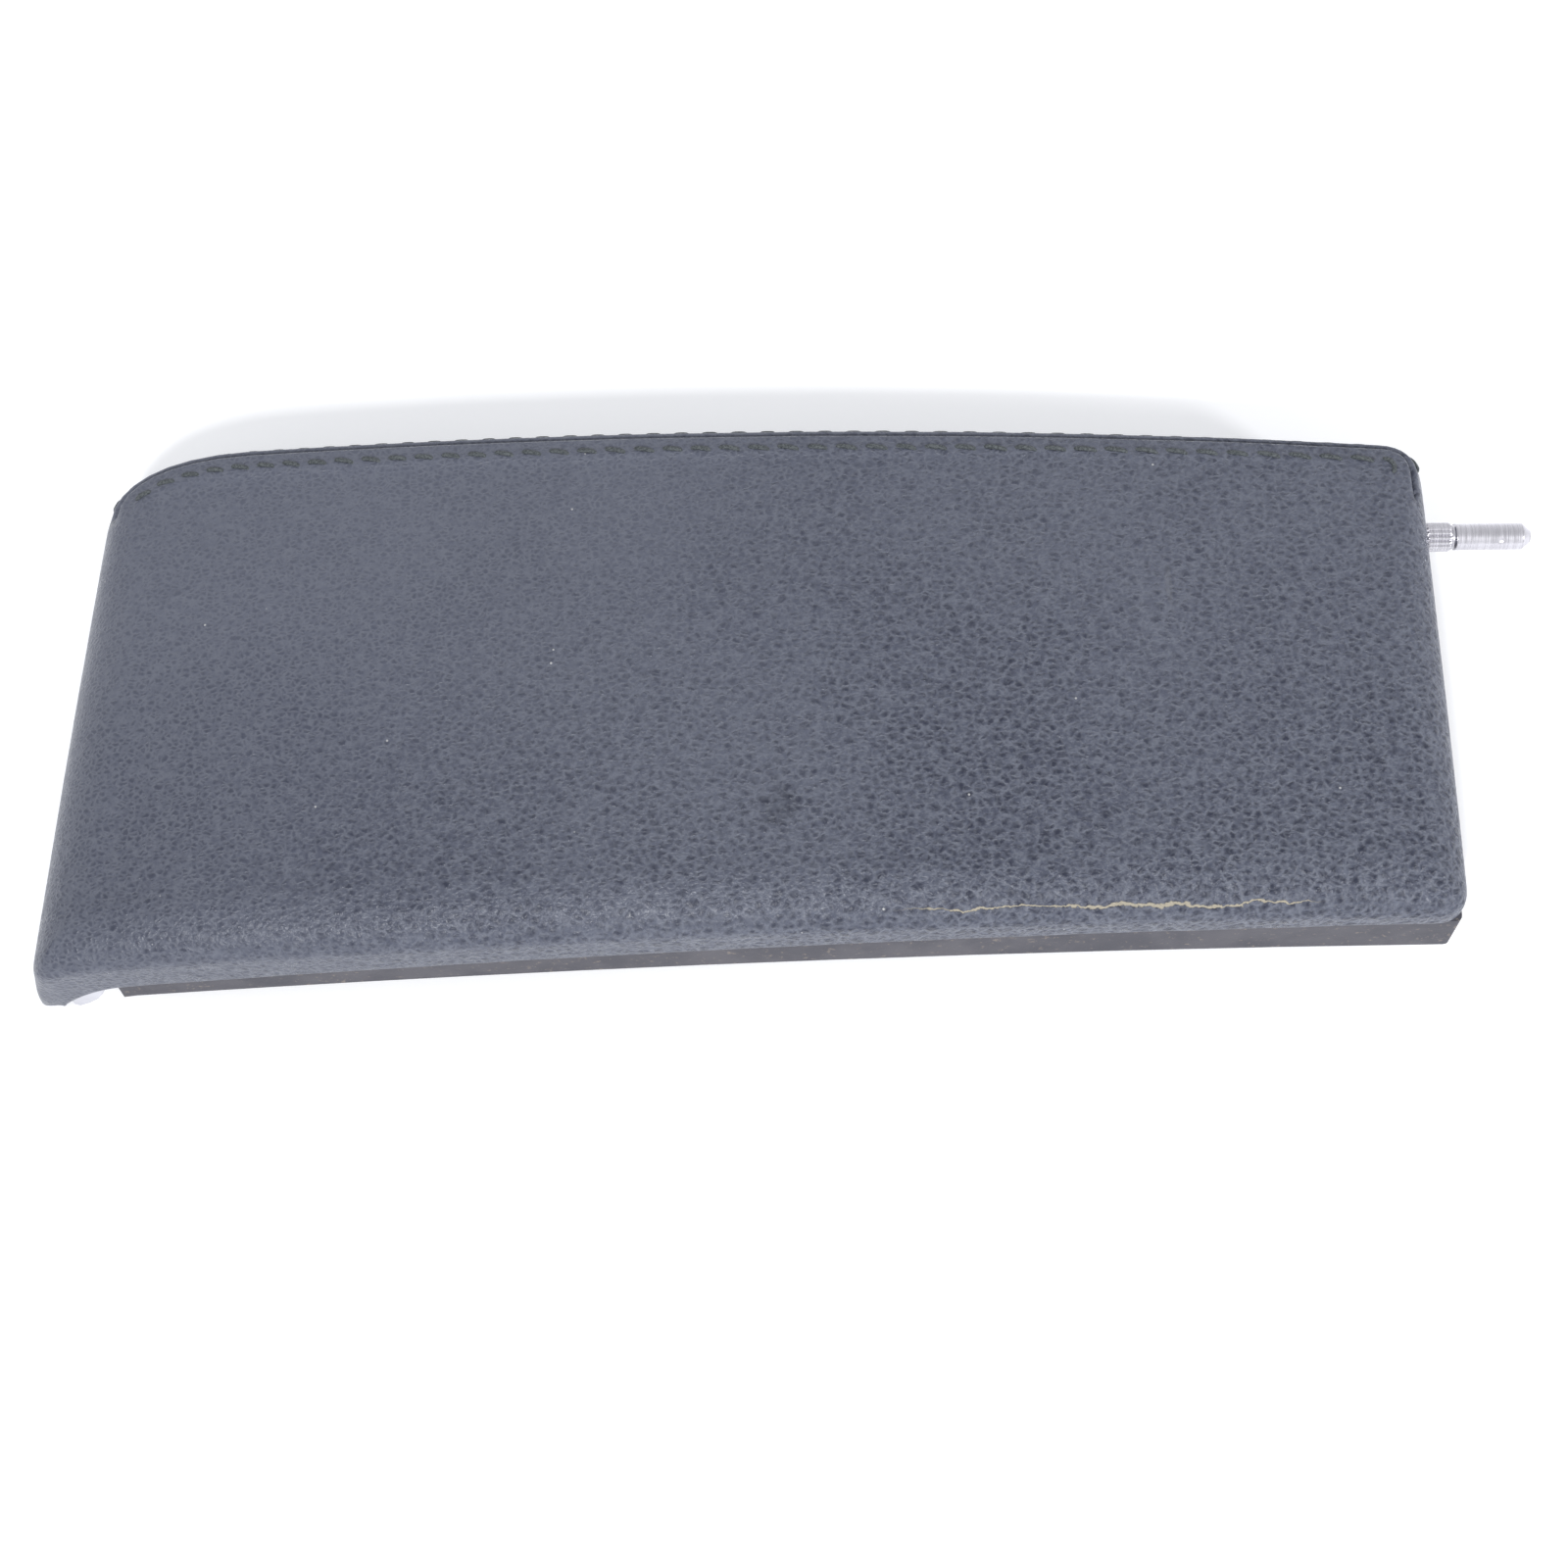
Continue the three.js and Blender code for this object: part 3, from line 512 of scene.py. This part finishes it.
LEATHER = leather_material()
THREAD = thread_material()
STEEL = steel_material()
FOAM = foam_material()
SILVER = silver_material()
NODE_MATERIALS = {
    "carrier_frame": moulded_material(),
    "lower_cover": cover_material(),
    "cover_screw": STEEL,
    "latch_hook": STEEL,
    "lever_pivot_pin": STEEL,
    "pin_circlip": STEEL,
    "bump_stop": rubber_material(),
    "rear_hinge_bush": bronze_material(),
}
NODE_MATERIALS["front_hinge_bush"] = NODE_MATERIALS["rear_hinge_bush"]

for node_name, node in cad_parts.items():
    for start, material in NODE_MATERIALS.items():
        if node_name.startswith(start):
            node.data.materials.clear()
            node.data.materials.append(material)

# ---- Leather ---------------------------------------------------------------------------------


def rows_over_the_edge(inset, angles):
    """The rounded upper edge as (inset, height above the underside), one for each angle."""
    radius = EDGE_RADIUS - inset
    top = LID_THICKNESS - inset
    rows = []
    for angle in angles:
        turn = math.radians(angle)
        rows.append((inset + radius * (1 - math.cos(turn)), top - radius * (1 - math.sin(turn))))
    return rows


COARSE_TURN = 5.0
FINE_TURN = 1.4
FINE_COUNT = 9


def edge_angles():
    """Degrees up the rounded edge, close together about the seam."""
    coarse = [COARSE_TURN * k for k in range(19)]
    fine = [SEAM_ANGLE + FINE_TURN * k for k in range(-FINE_COUNT, FINE_COUNT + 1)]
    near = FINE_TURN * FINE_COUNT + 3.0
    return sorted([a for a in coarse if abs(a - SEAM_ANGLE) > near] + fine)


def lower_edge(x, y):
    """Height of the leather's lower edge above the underside: the nose is wrapped right under."""
    return hem(x) * smooth(NOSE_HOOK - 1.0, NOSE_HOOK + 0.6, setback(x, y))


def top_grid(ring):
    """Fills the top inside a ring with an even grid, and gives the grid's inner points and faces."""
    long_steps = SIDE_STEPS + CORNER_STEPS
    short_steps = END_STEPS + CORNER_STEPS
    first = -CORNER_STEPS // 2
    outer = [(first + i) % RING_POINTS for i in range(long_steps + 1)]
    rear = [(first + long_steps + j) % RING_POINTS for j in range(short_steps + 1)]
    split = [(first + 2 * long_steps + short_steps - i) % RING_POINTS for i in range(long_steps + 1)]
    front = [(first - j) % RING_POINTS for j in range(short_steps + 1)]
    inner, index = [], {}
    for i in range(long_steps + 1):
        index[i, 0] = outer[i]
        index[i, short_steps] = split[i]
    for j in range(short_steps + 1):
        index[0, j] = front[j]
        index[long_steps, j] = rear[j]
    corner = [ring[outer[0]], ring[outer[-1]], ring[split[0]], ring[split[-1]]]
    for i in range(1, long_steps):
        u = i / long_steps
        for j in range(1, short_steps):
            v = j / short_steps
            p = ring[outer[i]].lerp(ring[split[i]], v) + ring[front[j]].lerp(ring[rear[j]], u)
            p -= corner[0].lerp(corner[1], u).lerp(corner[2].lerp(corner[3], u), v)
            index[i, j] = RING_POINTS + len(inner)
            inner.append(p)
    faces = [
        (index[i, j], index[i, j + 1], index[i + 1, j + 1], index[i + 1, j])
        for i in range(long_steps)
        for j in range(short_steps)
    ]
    return inner, faces


def on_side_panel(p):
    return p.y > OUTER_Y - SIDE_PANEL_WRAP


def seam_push(distance):
    """How far the skin stands out near the seam: a groove between two soft lips."""
    groove = -SEAM_DEPTH * math.exp(-((distance / SEAM_WIDTH) ** 2))
    return groove + SEAM_LIP * math.exp(-(((abs(distance) - 1.5) / 0.9) ** 2))


def unevenness(p, strength):
    """Slow hand-made waves in the skin."""
    return strength * noise.noise(p / 23.0) + 0.4 * strength * noise.noise(p / 8.0)


# The turned-under edge as (share of the reach, lift), for a plain hem and for the thick nose
PLAIN_HEM = ((1.0, 0.35), (0.75, 0.1), (0.4, 0.0), (0.12, 0.35), (0.0, 1.1))
NOSE_HEM = ((1.0, 0.9), (0.9, 0.35), (0.62, 0.0), (0.2, 0.9), (0.0, 3.4))
# The underside of the hook keeps this share of the front edge's depth
HOOK_LEVELLING = 0.42


def hem_rings(foot, inset, tuck, low_wave):
    """The rings of the leather's turned-under lower edge, from the inside out."""
    insets = {}
    for (plain_share, plain_lift), (nose_share, nose_lift) in zip(PLAIN_HEM, NOSE_HEM):
        ring = []
        for k, corner in enumerate(foot):
            nose = 1 - smooth(NOSE_HOOK - 1.5, NOSE_HOOK + 0.3, setback(corner.x, corner.y))
            plain_reach = tuck * plain_share
            reach = plain_reach + ((NOSE_HOOK - 0.6) * nose_share - plain_reach) * nose
            key = round(reach, 2)
            if key not in insets:
                insets[key] = outline(inset + key)
            p = insets[key][k]
            height = lower_edge(corner.x, corner.y)
            height += plain_lift + (nose_lift - plain_lift) * nose
            height += low_wave * noise.noise(Vector((p.x / 11.0, p.y / 11.0, 0.0)))
            point = bend(p.x, p.y, height)
            level = bend(corner.x, corner.y, 0.0).z + nose_lift
            point.z += (level - point.z) * nose * HOOK_LEVELLING
            ring.append(point)
        yield ring


def edge_ring(foot, ring_inset, height, turn, arc):
    """One ring of the rounded upper edge, which rolls over more slowly away from the hinge."""
    tight, wide = outline(ring_inset), outline(ring_inset * EDGE_SPREAD)
    ring = []
    for k, corner in enumerate(foot):
        roll = 1 - smooth(MIDDLE_Y + 10.0, OUTER_Y - SIDE_PANEL_WRAP - 3.0, corner.y)
        p = tight[k].lerp(wide[k], roll)
        point = bend(p.x, p.y, height)
        if on_side_panel(p):
            outward = (corner - outline_centre(corner)).normalized()
            normal = Vector((outward.x * math.cos(turn), outward.y * math.cos(turn), math.sin(turn)))
            blend = smooth(OUTER_Y - SIDE_PANEL_WRAP, OUTER_Y - SIDE_PANEL_WRAP + 2.0, p.y)
            point += normal * seam_push(arc) * blend
        ring.append(point)
    return ring


WALL_STEPS = 6
LEATHER_WALL = 1.1
FOAM_WALL = 3.5


def wall_ring(foot, t, shoulder, hem_lift, nose_lift):
    """One ring of the upright wall, a share t of the way from its lower edge to the shoulder."""
    ring = []
    for p in foot:
        low = lower_edge(p.x, p.y) + hem_lift
        if setback(p.x, p.y) < NOSE_HOOK:
            low = max(low, NOSE_HEM[-1][1])
        at_nose = 1 - smooth(COVER_SETBACK - 2.0, COVER_SETBACK, setback(p.x, p.y))
        low = max(low, nose_lift * at_nose)
        low = min(low, shoulder - 1.0)
        ring.append(bend(p.x, p.y, low + (shoulder - low) * t))
    return ring


def ring_faces(foot, ring_count, seam_ring):
    """Quads between the rings: the lid's own, and those of the side panel below the seam."""
    faces, side_faces = [], []
    for r in range(ring_count - 1):
        for k in range(RING_POINTS):
            after = (k + 1) % RING_POINTS
            low, high = r * RING_POINTS, (r + 1) * RING_POINTS
            face = (high + k, high + after, low + after, low + k)
            on_side = on_side_panel(foot[k]) and on_side_panel(foot[after])
            (side_faces if on_side and r < seam_ring else faces).append(face)
    return faces, side_faces


def padded_skin(inset, hem_lift, nose_lift=0.0, tuck=None, low_wave=0.0):
    """A skin over the whole lid as points, faces and the faces that belong to the side panel.

    It starts hem_lift above the leather's lower edge, and nose_lift above the underside at the
    nose. With a tuck it is turned under along its lower edge, as the leather is.
    """
    angles = edge_angles()
    edge = rows_over_the_edge(inset, angles)
    foot = outline(inset)
    rings = list(hem_rings(foot, inset, tuck, low_wave)) if tuck else []
    shoulder = edge[0][1]
    for step in range(1 if tuck else 0, WALL_STEPS):
        rings.append(wall_ring(foot, step / WALL_STEPS, shoulder, hem_lift, nose_lift))
    seam_ring = len(rings) + angles.index(SEAM_ANGLE)
    for (ring_inset, height), angle in zip(edge, angles):
        arc = math.radians(angle - SEAM_ANGLE) * (EDGE_RADIUS - inset)
        rings.append(edge_ring(foot, ring_inset, height, math.radians(angle), arc))

    points = [point for ring in rings for point in ring]
    faces, side_faces = ring_faces(foot, len(rings), seam_ring)
    last = (len(rings) - 1) * RING_POINTS
    inner, grid_faces = top_grid(rings[-1])
    points += inner
    faces += [tuple(i + last for i in face) for face in grid_faces]
    return points, faces, side_faces


def outline_centre(p):
    """The point of the lid's middle line that a rim point faces."""
    reach = 40.0
    x = min(max(p.x, FRONT_X + reach), REAR_X - reach)
    return Vector((x, MIDDLE_Y))


def used_only(points, faces):
    order = sorted({i for face in faces for i in face})
    renumber = {old: new for new, old in enumerate(order)}
    return [points[i] for i in order], [tuple(renumber[i] for i in face) for face in faces]


def thicken(piece, thickness):
    shell = piece.modifiers.new("shell", "SOLIDIFY")
    shell.thickness = thickness * MM
    shell.offset = -1.0
    shell.use_even_offset = False
    apply_modifiers(piece)
    piece.data.shade_smooth()


def make_leather():
    points, faces, side_faces = padded_skin(inset=0.0, hem_lift=1.1, tuck=1.3, low_wave=0.35)
    points = [p + Vector((0, 0, unevenness(p, 0.12))) for p in points]
    for name, part, node in (
        ("leather_top", faces, "leather_top_panel"),
        ("leather_side", side_faces, "leather_side_panel"),
    ):
        piece = mesh_piece(name, *used_only(points, part), "lid", "leather", LEATHER)
        thicken(piece, LEATHER_WALL)
        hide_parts(node)


def make_foam():
    points, faces, side_faces = padded_skin(inset=1.9, hem_lift=4.0, nose_lift=14.5)
    piece = mesh_piece("foam_core", *used_only(points, faces + side_faces), "lid", "foam", FOAM)
    thicken(piece, FOAM_WALL)
    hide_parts("foam_pad")


# ---- Stitches --------------------------------------------------------------------------------


def row_route(angle_degrees, stand_off):
    """A polyline round the front outer corner, the outer side and the rear outer corner."""
    turn = math.radians(angle_degrees)
    reach = EDGE_RADIUS + stand_off
    inset = EDGE_RADIUS - reach * math.cos(turn)
    height = LID_THICKNESS - EDGE_RADIUS + reach * math.sin(turn)
    ring = outline(inset)
    route = ring[-(CORNER_STEPS - 1):] + ring[: SIDE_STEPS + CORNER_STEPS + 2]
    return [bend(p.x, p.y, height) for p in route]


def walk(route):
    """Distances along a route, and a function from distance to point."""
    lengths = [0.0]
    for a, b in zip(route, route[1:]):
        lengths.append(lengths[-1] + (b - a).length)

    def at(distance):
        i = 0
        while i < len(route) - 2 and lengths[i + 1] < distance:
            i += 1
        span = max(lengths[i + 1] - lengths[i], 1e-9)
        return route[i].lerp(route[i + 1], (distance - lengths[i]) / span)

    return lengths[-1], at


STITCH_RINGS = 9
STITCH_SIDES = 8
THREAD_RADIUS = 0.55
STITCH_FRONT_PITCH = 5.7
STITCH_REAR_PITCH = 7.2
STITCH_GAP = 1.3
STITCH_RISE = 0.32
STITCH_SINK = 0.55


def stitch_ring(t, distance, lean, high_total, high, low_place):
    """One ring of a stitch, sunk into the leather at both its ends."""
    sink = abs(2 * t - 1) ** 4
    top = high(distance)
    centre = top.lerp(low_place, sink)
    ahead = (high(min(distance + 0.5, high_total)) - high(max(distance - 0.5, 0))).normalized()
    up = (top - low_place).normalized()
    across = ahead.cross(up).normalized()
    centre += across * lean * (t - 0.5)
    radius = THREAD_RADIUS * (1 - 0.35 * sink)
    turns = [2 * math.pi * k / STITCH_SIDES for k in range(STITCH_SIDES)]
    return [centre + (up * math.sin(a) * 0.8 + across * math.cos(a)) * radius for a in turns]


def stitch_faces(base):
    """The faces of one stitch whose points start at base, with its two ends closed."""
    faces = []
    for r in range(STITCH_RINGS - 1):
        for k in range(STITCH_SIDES):
            n = (k + 1) % STITCH_SIDES
            lower, upper = base + r * STITCH_SIDES, base + (r + 1) * STITCH_SIDES
            faces.append((lower + k, lower + n, upper + n, upper + k))
    faces.append(tuple(base + k for k in reversed(range(STITCH_SIDES))))
    last = base + (STITCH_RINGS - 1) * STITCH_SIDES
    faces.append(tuple(last + k for k in range(STITCH_SIDES)))
    return faces


def make_stitches(name, angle, node, slant, seed):
    """A row of separate stitches round the seam, each a little different in length and lean."""
    random.seed(seed)
    high_total, high = walk(row_route(angle, STITCH_RISE))
    low_total, low = walk(row_route(angle, -STITCH_SINK))
    points, faces = [], []
    start = 0.6
    while True:
        share = start / high_total
        pitch = STITCH_FRONT_PITCH + (STITCH_REAR_PITCH - STITCH_FRONT_PITCH) * share
        pitch *= random.uniform(0.97, 1.03)
        length = pitch - STITCH_GAP
        if start + length > high_total:
            break
        lean = slant * random.uniform(0.6, 1.3)
        faces += stitch_faces(len(points))
        for r in range(STITCH_RINGS):
            t = r / (STITCH_RINGS - 1)
            distance = start + length * t
            low_place = low(distance * low_total / high_total)
            points += stitch_ring(t, distance, lean, high_total, high, low_place)
        start += pitch
    piece = mesh_piece(name, points, faces, "lid", "thread", THREAD)
    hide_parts(node)


# ---- Hinge pin -------------------------------------------------------------------------------

PIN_CHAMFER = 1.6
KNURL_TEETH = 16
KNURL_LENGTH = 5.8
KNURL_END = REAR_X + 0.6 + KNURL_LENGTH
NECK_LENGTH = 0.8
PIN_INSIDE = 46.0
GROOVE_END = REAR_X - PIN_INSIDE + 2.4
GROOVE_START = GROOVE_END - 1.5
PIN_SIDES = 160
NICK_X = -6.9
NICK_TURN = math.radians(137.5)


def pin_radius(x, turn):
    radius = PIN_RADIUS
    radius -= max(0.0, (x + PIN_CHAMFER * 1.2) / (PIN_CHAMFER * 1.2)) * PIN_CHAMFER
    if KNURL_END - KNURL_LENGTH <= x <= KNURL_END:
        ends = smooth(KNURL_END, KNURL_END - 0.5, x)
        ends *= smooth(KNURL_END - KNURL_LENGTH, KNURL_END - KNURL_LENGTH + 0.5, x)
        tooth = abs(math.sin(turn * KNURL_TEETH / 2)) ** 0.7
        radius += (0.28 - 0.62 * (1 - tooth)) * ends
    if KNURL_END < x < KNURL_END + NECK_LENGTH:
        radius -= 0.3
    if GROOVE_START < x < GROOVE_END:
        radius -= 0.7
    radius -= max(0.0, (REAR_X - PIN_INSIDE + 0.5 - x))
    nick = ((x - NICK_X) / 0.45) ** 2 + ((turn - NICK_TURN) * PIN_RADIUS / 0.5) ** 2
    return radius - 0.22 * math.exp(-nick)


def pin_stations():
    step = 0.004
    chamfer = [-PIN_CHAMFER * 1.2 * k / 4 for k in range(5)]
    body = [-2.1 - 0.5 * k for k in range(30)]
    nick = [NICK_X + 0.15 * k for k in range(-6, 7)]
    knurl = [KNURL_END - KNURL_LENGTH * k / 24 for k in range(25)]
    edges = [KNURL_END + NECK_LENGTH, KNURL_END, KNURL_END - KNURL_LENGTH, GROOVE_START, GROOVE_END]
    doubled = [x + side * step for x in edges for side in (-1, 1)]
    end = REAR_X - PIN_INSIDE
    stations = chamfer + body + nick + knurl + doubled + [REAR_X - 5, -50.0, end + 0.5, end]
    return sorted(set(round(x, 4) for x in stations), reverse=True)


def make_pin():
    stations = pin_stations()
    points = [
        Vector((x, math.cos(a) * pin_radius(x, a), math.sin(a) * pin_radius(x, a)))
        for x in stations
        for a in (2 * math.pi * k / PIN_SIDES for k in range(PIN_SIDES))
    ]
    faces = []
    for r in range(len(stations) - 1):
        for k in range(PIN_SIDES):
            n = (k + 1) % PIN_SIDES
            front, back = r * PIN_SIDES, (r + 1) * PIN_SIDES
            faces.append((front + k, front + n, back + n, back + k))
    faces.append(tuple(reversed(range(PIN_SIDES))))
    last = (len(stations) - 1) * PIN_SIDES
    faces.append(tuple(last + k for k in range(PIN_SIDES)))
    piece = mesh_piece("knurled_pin", points, faces, "pin", "steel", STEEL)
    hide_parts("hinge_pin")


# ---- Release lever ---------------------------------------------------------------------------

# Sections of the lever, as (distance behind the front corner's line, z)
LEVER_FACE = (
    (5.0, -7.0), (4.8, -12.0), (4.3, -16.8), (4.4, -18.6), (5.6, -19.2), (8.3, -17.0),
    (11.1, -13.8), (12.9, -10.4), (13.6, -7.0),
)
LEVER_ARM = ((11.0, -9.4), (21.0, -8.6), (27.0, -8.6), (27.0, -3.8), (21.0, -3.8), (11.0, -7.1))
LEVER_WEB = ((26.0, -7.4), (29.0, -7.4), (29.0, -4.4), (26.0, -4.4))
LEVER_START = 1.9
LEVER_END = 82.6
ARM_MIDDLES = (16.7, 68.7)
ARM_HALF = 2.5
LEVER_ROUND = 1.4
ROUND_STEPS = 5


NOSE_CORNER = Vector((FRONT_X - FRONT_RAKE / 2, SPLIT_Y - (FRONT_WIDTH - REAR_WIDTH) / 2))
NOSE_AHEAD = Vector((FRONT_RAKE, FRONT_WIDTH)).normalized()
NOSE_BACK = Vector((NOSE_AHEAD.y, -NOSE_AHEAD.x))


def in_nose(distance, back, z):
    """A point given along the raked front from its split corner, back from it, and up."""
    place = NOSE_CORNER + NOSE_AHEAD * distance + NOSE_BACK * back
    return Vector((place.x, place.y, z))


def along_nose(profile, start, end, rounded):
    """A section drawn along the raked front, with its two ends rounded off."""
    section = [Vector(p) for p in profile]
    middle = sum(section, Vector((0, 0))) / len(section)
    ends = [(rounded * (1 - math.cos(a)), 1 - 0.14 * (1 - math.sin(a)))
            for a in (math.pi / 2 * i / ROUND_STEPS for i in range(ROUND_STEPS + 1))]
    stations = [(start + reach, size) for reach, size in ends]
    stations += [(end - reach, size) for reach, size in reversed(ends)]
    points = []
    for distance, size in stations:
        points += [in_nose(distance, *middle.lerp(p, size)) for p in section]
    count = len(section)
    faces = [tuple(range(count))]
    for i in range(len(stations) - 1):
        for k in range(count):
            n = (k + 1) % count
            low, high = i * count, (i + 1) * count
            faces.append((low + k, high + k, high + n, low + n))
    last = (len(stations) - 1) * count
    faces.append(tuple(last + k for k in reversed(range(count))))
    return points, faces


def make_lever():
    """The silver lever: a lens-shaped face under the nose on two arms joined by a web."""
    parts = [along_nose(LEVER_FACE, LEVER_START, LEVER_END, LEVER_ROUND)]
    parts += [along_nose(LEVER_ARM, m - ARM_HALF, m + ARM_HALF, 0.4) for m in ARM_MIDDLES]
    parts += [along_nose(LEVER_WEB, *ARM_MIDDLES, 0.4)]
    points, faces = [], []
    for part_points, part_faces in parts:
        faces += [tuple(i + len(points) for i in face) for face in part_faces]
        points += part_points
    piece = mesh_piece("silver_lever", points, faces, "lever", "silver_plastic", SILVER)
    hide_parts("release_lever")


SPRING_AT = (42.7, 11.8)
SPRING_Z = (-6.7, 1.2)
SPRING_RADIUS = 3.0
SPRING_WIRE = 0.35
SPRING_TURNS = 4.0
SPRING_STEPS = 120
SPRING_SIDES = 8


def make_spring():
    """The lever's return spring, a coil of wire standing on the lid."""
    low, high = SPRING_Z
    centre = in_nose(*SPRING_AT, 0.0)
    up = Vector((0.0, 0.0, 1.0))
    points, faces = [], []
    for i in range(SPRING_STEPS + 1):
        t = i / SPRING_STEPS
        angle = 2 * math.pi * SPRING_TURNS * t
        out = Vector((math.cos(angle), math.sin(angle), 0.0))
        z = low + SPRING_WIRE + (high - low - 2 * SPRING_WIRE) * t
        hub = centre + out * SPRING_RADIUS + up * z
        for k in range(SPRING_SIDES):
            a = 2 * math.pi * k / SPRING_SIDES
            points.append(hub + (out * math.cos(a) + up * math.sin(a)) * SPRING_WIRE)
    for i in range(SPRING_STEPS):
        for k in range(SPRING_SIDES):
            n = (k + 1) % SPRING_SIDES
            before, after = i * SPRING_SIDES, (i + 1) * SPRING_SIDES
            faces.append((before + k, before + n, after + n, after + k))
    faces.append(tuple(reversed(range(SPRING_SIDES))))
    faces.append(tuple(SPRING_STEPS * SPRING_SIDES + k for k in range(SPRING_SIDES)))
    piece = mesh_piece("lever_coil", points, faces, "lid", "steel", STEEL)
    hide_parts("lever_spring")
    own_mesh(piece)


make_leather()
make_foam()
make_lever()
make_spring()
make_stitches("stitches_top", ROW_ANGLES["stitches_top"], "stitch_row_top", 0.9, 11)
make_stitches("stitches_side", ROW_ANGLES["stitches_side"], "stitch_row_side", 0.0, 12)
make_pin()

# ---- Floor, light and camera -----------------------------------------------------------------


def make_floor():
    size = 6.0
    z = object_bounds()[0].z - 0.4 * MM
    mesh = bpy.data.meshes.new("floor")
    corners = [(-size, -size, z), (size, -size, z), (size, size, z), (-size, size, z)]
    mesh.from_pydata(corners, [], [(0, 1, 2, 3)])
    mesh.materials.append(floor_material())
    floor = bpy.data.objects.new("floor", mesh)
    bpy.context.scene.collection.objects.link(floor)


def make_world():
    """An even pale room, brighter near the horizon than overhead."""
    world = bpy.data.worlds.new("studio")
    bpy.context.scene.world = world
    world.use_nodes = True
    nodes, links = world.node_tree.nodes, world.node_tree.links
    coord = nodes.new("ShaderNodeTexCoord")
    split = nodes.new("ShaderNodeSeparateXYZ")
    ramp = nodes.new("ShaderNodeMapRange")
    ramp.inputs["From Min"].default_value = 0.0
    ramp.inputs["From Max"].default_value = 1.0
    ramp.inputs["To Min"].default_value = 1.12
    ramp.inputs["To Max"].default_value = 0.72
    links.new(coord.outputs["Generated"], split.inputs[0])
    links.new(split.outputs["Z"], ramp.inputs["Value"])
    background = nodes["Background"]
    background.inputs["Color"].default_value = (0.97, 0.98, 1.0, 1.0)
    links.new(ramp.outputs["Result"], background.inputs["Strength"])


def area_light(name, place, target, size, power):
    light = bpy.data.lights.new(name, "AREA")
    light.shape = "SQUARE"
    light.size = size
    light.energy = power
    holder = bpy.data.objects.new(name, light)
    bpy.context.scene.collection.objects.link(holder)
    holder.location = place
    holder.rotation_euler = (Vector(target) - Vector(place)).to_track_quat("-Z", "Y").to_euler()


CAMERA_TURN = math.radians(-0.656)
CAMERA_HEIGHT = math.radians(65.55)
CAMERA_ROLL = math.radians(-1.24)
CAMERA_DISTANCE = 598.0
CAMERA_TARGET = Vector((-168.8, -59.4, 0.0))
CAMERA_LENS = 63.2


def make_camera():
    data = bpy.data.cameras.new("camera")
    data.lens = CAMERA_LENS
    data.sensor_width = 36.0
    camera = bpy.data.objects.new("camera", data)
    bpy.context.scene.collection.objects.link(camera)
    turn, height = CAMERA_TURN, CAMERA_HEIGHT
    ahead = Vector((
        math.sin(turn) * math.cos(height), math.cos(turn) * math.cos(height), -math.sin(height),
    ))
    level = Vector((math.cos(turn), -math.sin(turn), 0.0))
    upright = level.cross(ahead)
    right = level * math.cos(CAMERA_ROLL) + upright * math.sin(CAMERA_ROLL)
    up = right.cross(ahead)
    axes = Matrix((right, up, -ahead)).transposed().to_4x4()
    place = Matrix.Translation((CAMERA_TARGET - ahead * CAMERA_DISTANCE) * MM)
    camera.matrix_world = place @ axes
    bpy.context.scene.camera = camera


make_floor()
make_world()
area_light("edge_light", (-0.29, -0.72, 0.77), (-0.21, -0.10, 0.0), 0.08, 5.0)
area_light("corner_light", (0.60, -0.48, 0.50), (-0.03, -0.09, 0.0), 0.09, 3.4)
make_camera()
bpy.context.scene.view_settings.view_transform = "Standard"
